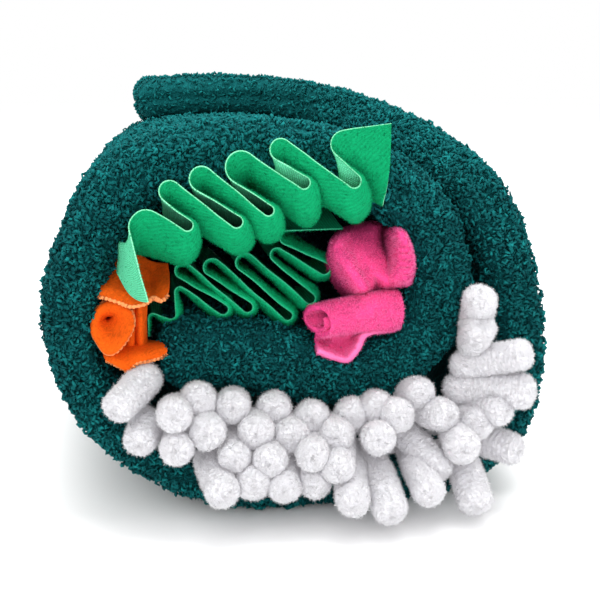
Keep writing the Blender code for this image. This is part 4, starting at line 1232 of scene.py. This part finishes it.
class SNUFFLE_OT_plush(bpy.types.Operator):
    """Build the pink plush curl and the plush roll with their pile"""
    bl_idname = "snuffle.plush"
    bl_label = "Plush pieces"

    def execute(self, context):
        sizes, colours = context.scene.snuffle_sizes, context.scene.snuffle_colours
        cloth, pile = plush_cloth(colours), cut_pile("plush_pile", colours.plush, colours.plush_light)
        rng = np.random.default_rng(5)
        blade = short_fibre(0.0001, 0.0012)
        lift = sizes.plush_thickness * 0.35 / MM + 0.35
        for node, points in (("plush_curl", quilted(PLUSH_CURL, 44, 72)), ("plush_roll", self.roll_skin())):
            points[..., 1] += lumps(points, 5.0, 4.0) * 0.6
            if node == "plush_curl":
                rim = np.clip((points[..., 0] - 29.5) / 1.5, 0, 1)
                points[..., 1] += 0.45 * rim * np.sin(points[..., 2] * 2.9)
            piece = add_piece(node + "_pile", laid_grid(points, cloth_size(points)), [cloth])
            thicken(piece, sizes.plush_thickness * 0.7)
            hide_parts(node)
            declare_sheet(points)
            normals = cloth_normals(points)
            density = np.full(points.shape[:2], PILE_ON_PLUSH)
            for side, sign in (("face", 1), ("back", -1)):
                seats, turned = spread(points, normals * sign, density, rng)
                # Painted shade: fibres further back, deep in the roll, get a darker tone.
                tone = (0.7, (5.5 - seats[:, 1]) / 8.0, 1.3)
                mesh = planted("%s_%s" % (piece.name, side), [blade], seats + turned * lift, turned,
                               rng, 0.55, tone=tone)
                add_mesh(mesh.name, mesh, [pile])
        return {"FINISHED"}

    def roll_skin(self):
        """The roll's cloth, from the edge of its flap up and round to its inner end."""
        share = np.linspace(0, 1, 56)
        x, y, z, radius, bottom = smooth_rows(PLUSH_ROLL, share * (len(PLUSH_ROLL) - 1)).T
        open_end = 0.9 * np.clip(1 - 3.5 * share, 0, 1)
        rows = []
        for t in np.linspace(0, 1, 16)[:-1]:
            tucked = 4.5 * math.sin(math.pi * t**0.8)
            height = bottom + (z - 0.95 * radius - bottom) * t
            rows.append(np.stack([x, y - 2.2 * (1 - t) + tucked, height], axis=1))
        for s in np.linspace(1, 0, 66):
            turn = math.radians(-300 + 485 * s)
            reach = radius * (0.46 + 0.54 * min(1.0, 1.9 * s))
            back = -reach * math.sin(turn)
            rows.append(np.stack([x - open_end * back, y + back, z + reach * math.cos(turn)], axis=1))
        return np.array(rows)


class SNUFFLE_OT_stage(bpy.types.Operator):
    """Set the plain floor, the soft lights and the camera"""
    bl_idname = "snuffle.stage"
    bl_label = "Stage"

    def execute(self, context):
        scene, colours = context.scene, context.scene.snuffle_colours
        bm = bmesh.new()
        bmesh.ops.create_grid(bm, x_segments=8, y_segments=8, size=FLOOR_HALF)
        mesh = to_mesh("floor", bm)
        f = Finish("floor_paper", Specular_IOR_Level=0.0)
        mesh.materials.append(f.finish(f.mix(toned(colours.floor, 0.995), colours.floor, f.noise(3.0)), 1.0))
        floor = bpy.data.objects.new("floor", mesh)
        scene.collection.objects.link(floor)
        world = bpy.data.worlds.new("studio")
        scene.world = world
        world.use_nodes = True
        background = world.node_tree.nodes["Background"]
        background.inputs[0].default_value = (1.0, 1.0, 1.0, 1.0)
        background.inputs[1].default_value = 1.0
        for name, place, size, power in LIGHTS:
            light = bpy.data.lights.new(name, "AREA")
            light.size = size
            light.energy = power
            self.point(name, light, Vector(place), Vector(LIT_PLACE))
        camera = bpy.data.cameras.new("camera")
        camera.lens = CAMERA_LENS
        camera.sensor_width = 36.0
        camera.clip_start = 0.01
        scene.camera = self.point("camera", camera, Vector(CAMERA_PLACE) * MM, Vector(CAMERA_AIM) * MM)
        scene.view_settings.view_transform = "Standard"
        return {"FINISHED"}

    def point(self, name, data, place, target):
        """Put a light or a camera in its place and point it at its target."""
        made = bpy.data.objects.new(name, data)
        bpy.context.scene.collection.objects.link(made)
        made.location = place
        made.rotation_euler = (target - made.location).to_track_quat("-Z", "Y").to_euler()
        return made


class SNUFFLE_PT_panel(bpy.types.Panel):
    """Sizes, colours and steps of the rolled snuffle mat"""
    bl_idname = "SNUFFLE_PT_panel"
    bl_label = "Snuffle mat"
    bl_space_type = "VIEW_3D"
    bl_region_type = "UI"
    bl_category = "Snuffle mat"

    def draw(self, context):
        for group in (context.scene.snuffle_sizes, context.scene.snuffle_colours):
            box = self.layout.box()
            for name in group.__annotations__:
                box.prop(group, name)
        for operator in OPERATORS:
            self.layout.operator(operator.bl_idname)


OPERATORS = (SNUFFLE_OT_mat, SNUFFLE_OT_noodles, SNUFFLE_OT_ribbons, SNUFFLE_OT_felt, SNUFFLE_OT_plush,
             SNUFFLE_OT_stage)
CLASSES = (SnuffleSizes, SnuffleColours) + OPERATORS + (SNUFFLE_PT_panel,)


def register():
    for cls in CLASSES:
        bpy.utils.register_class(cls)
    bpy.types.Scene.snuffle_sizes = bpy.props.PointerProperty(type=SnuffleSizes)
    bpy.types.Scene.snuffle_colours = bpy.props.PointerProperty(type=SnuffleColours)


def unregister():
    del bpy.types.Scene.snuffle_sizes
    del bpy.types.Scene.snuffle_colours
    for cls in reversed(CLASSES):
        bpy.utils.unregister_class(cls)


def main():
    register()
    bpy.ops.snuffle.mat()
    bpy.ops.snuffle.noodles()
    bpy.ops.snuffle.ribbons()
    bpy.ops.snuffle.felt()
    bpy.ops.snuffle.plush()
    bpy.ops.snuffle.stage()


if __name__ == "__main__":
    main()
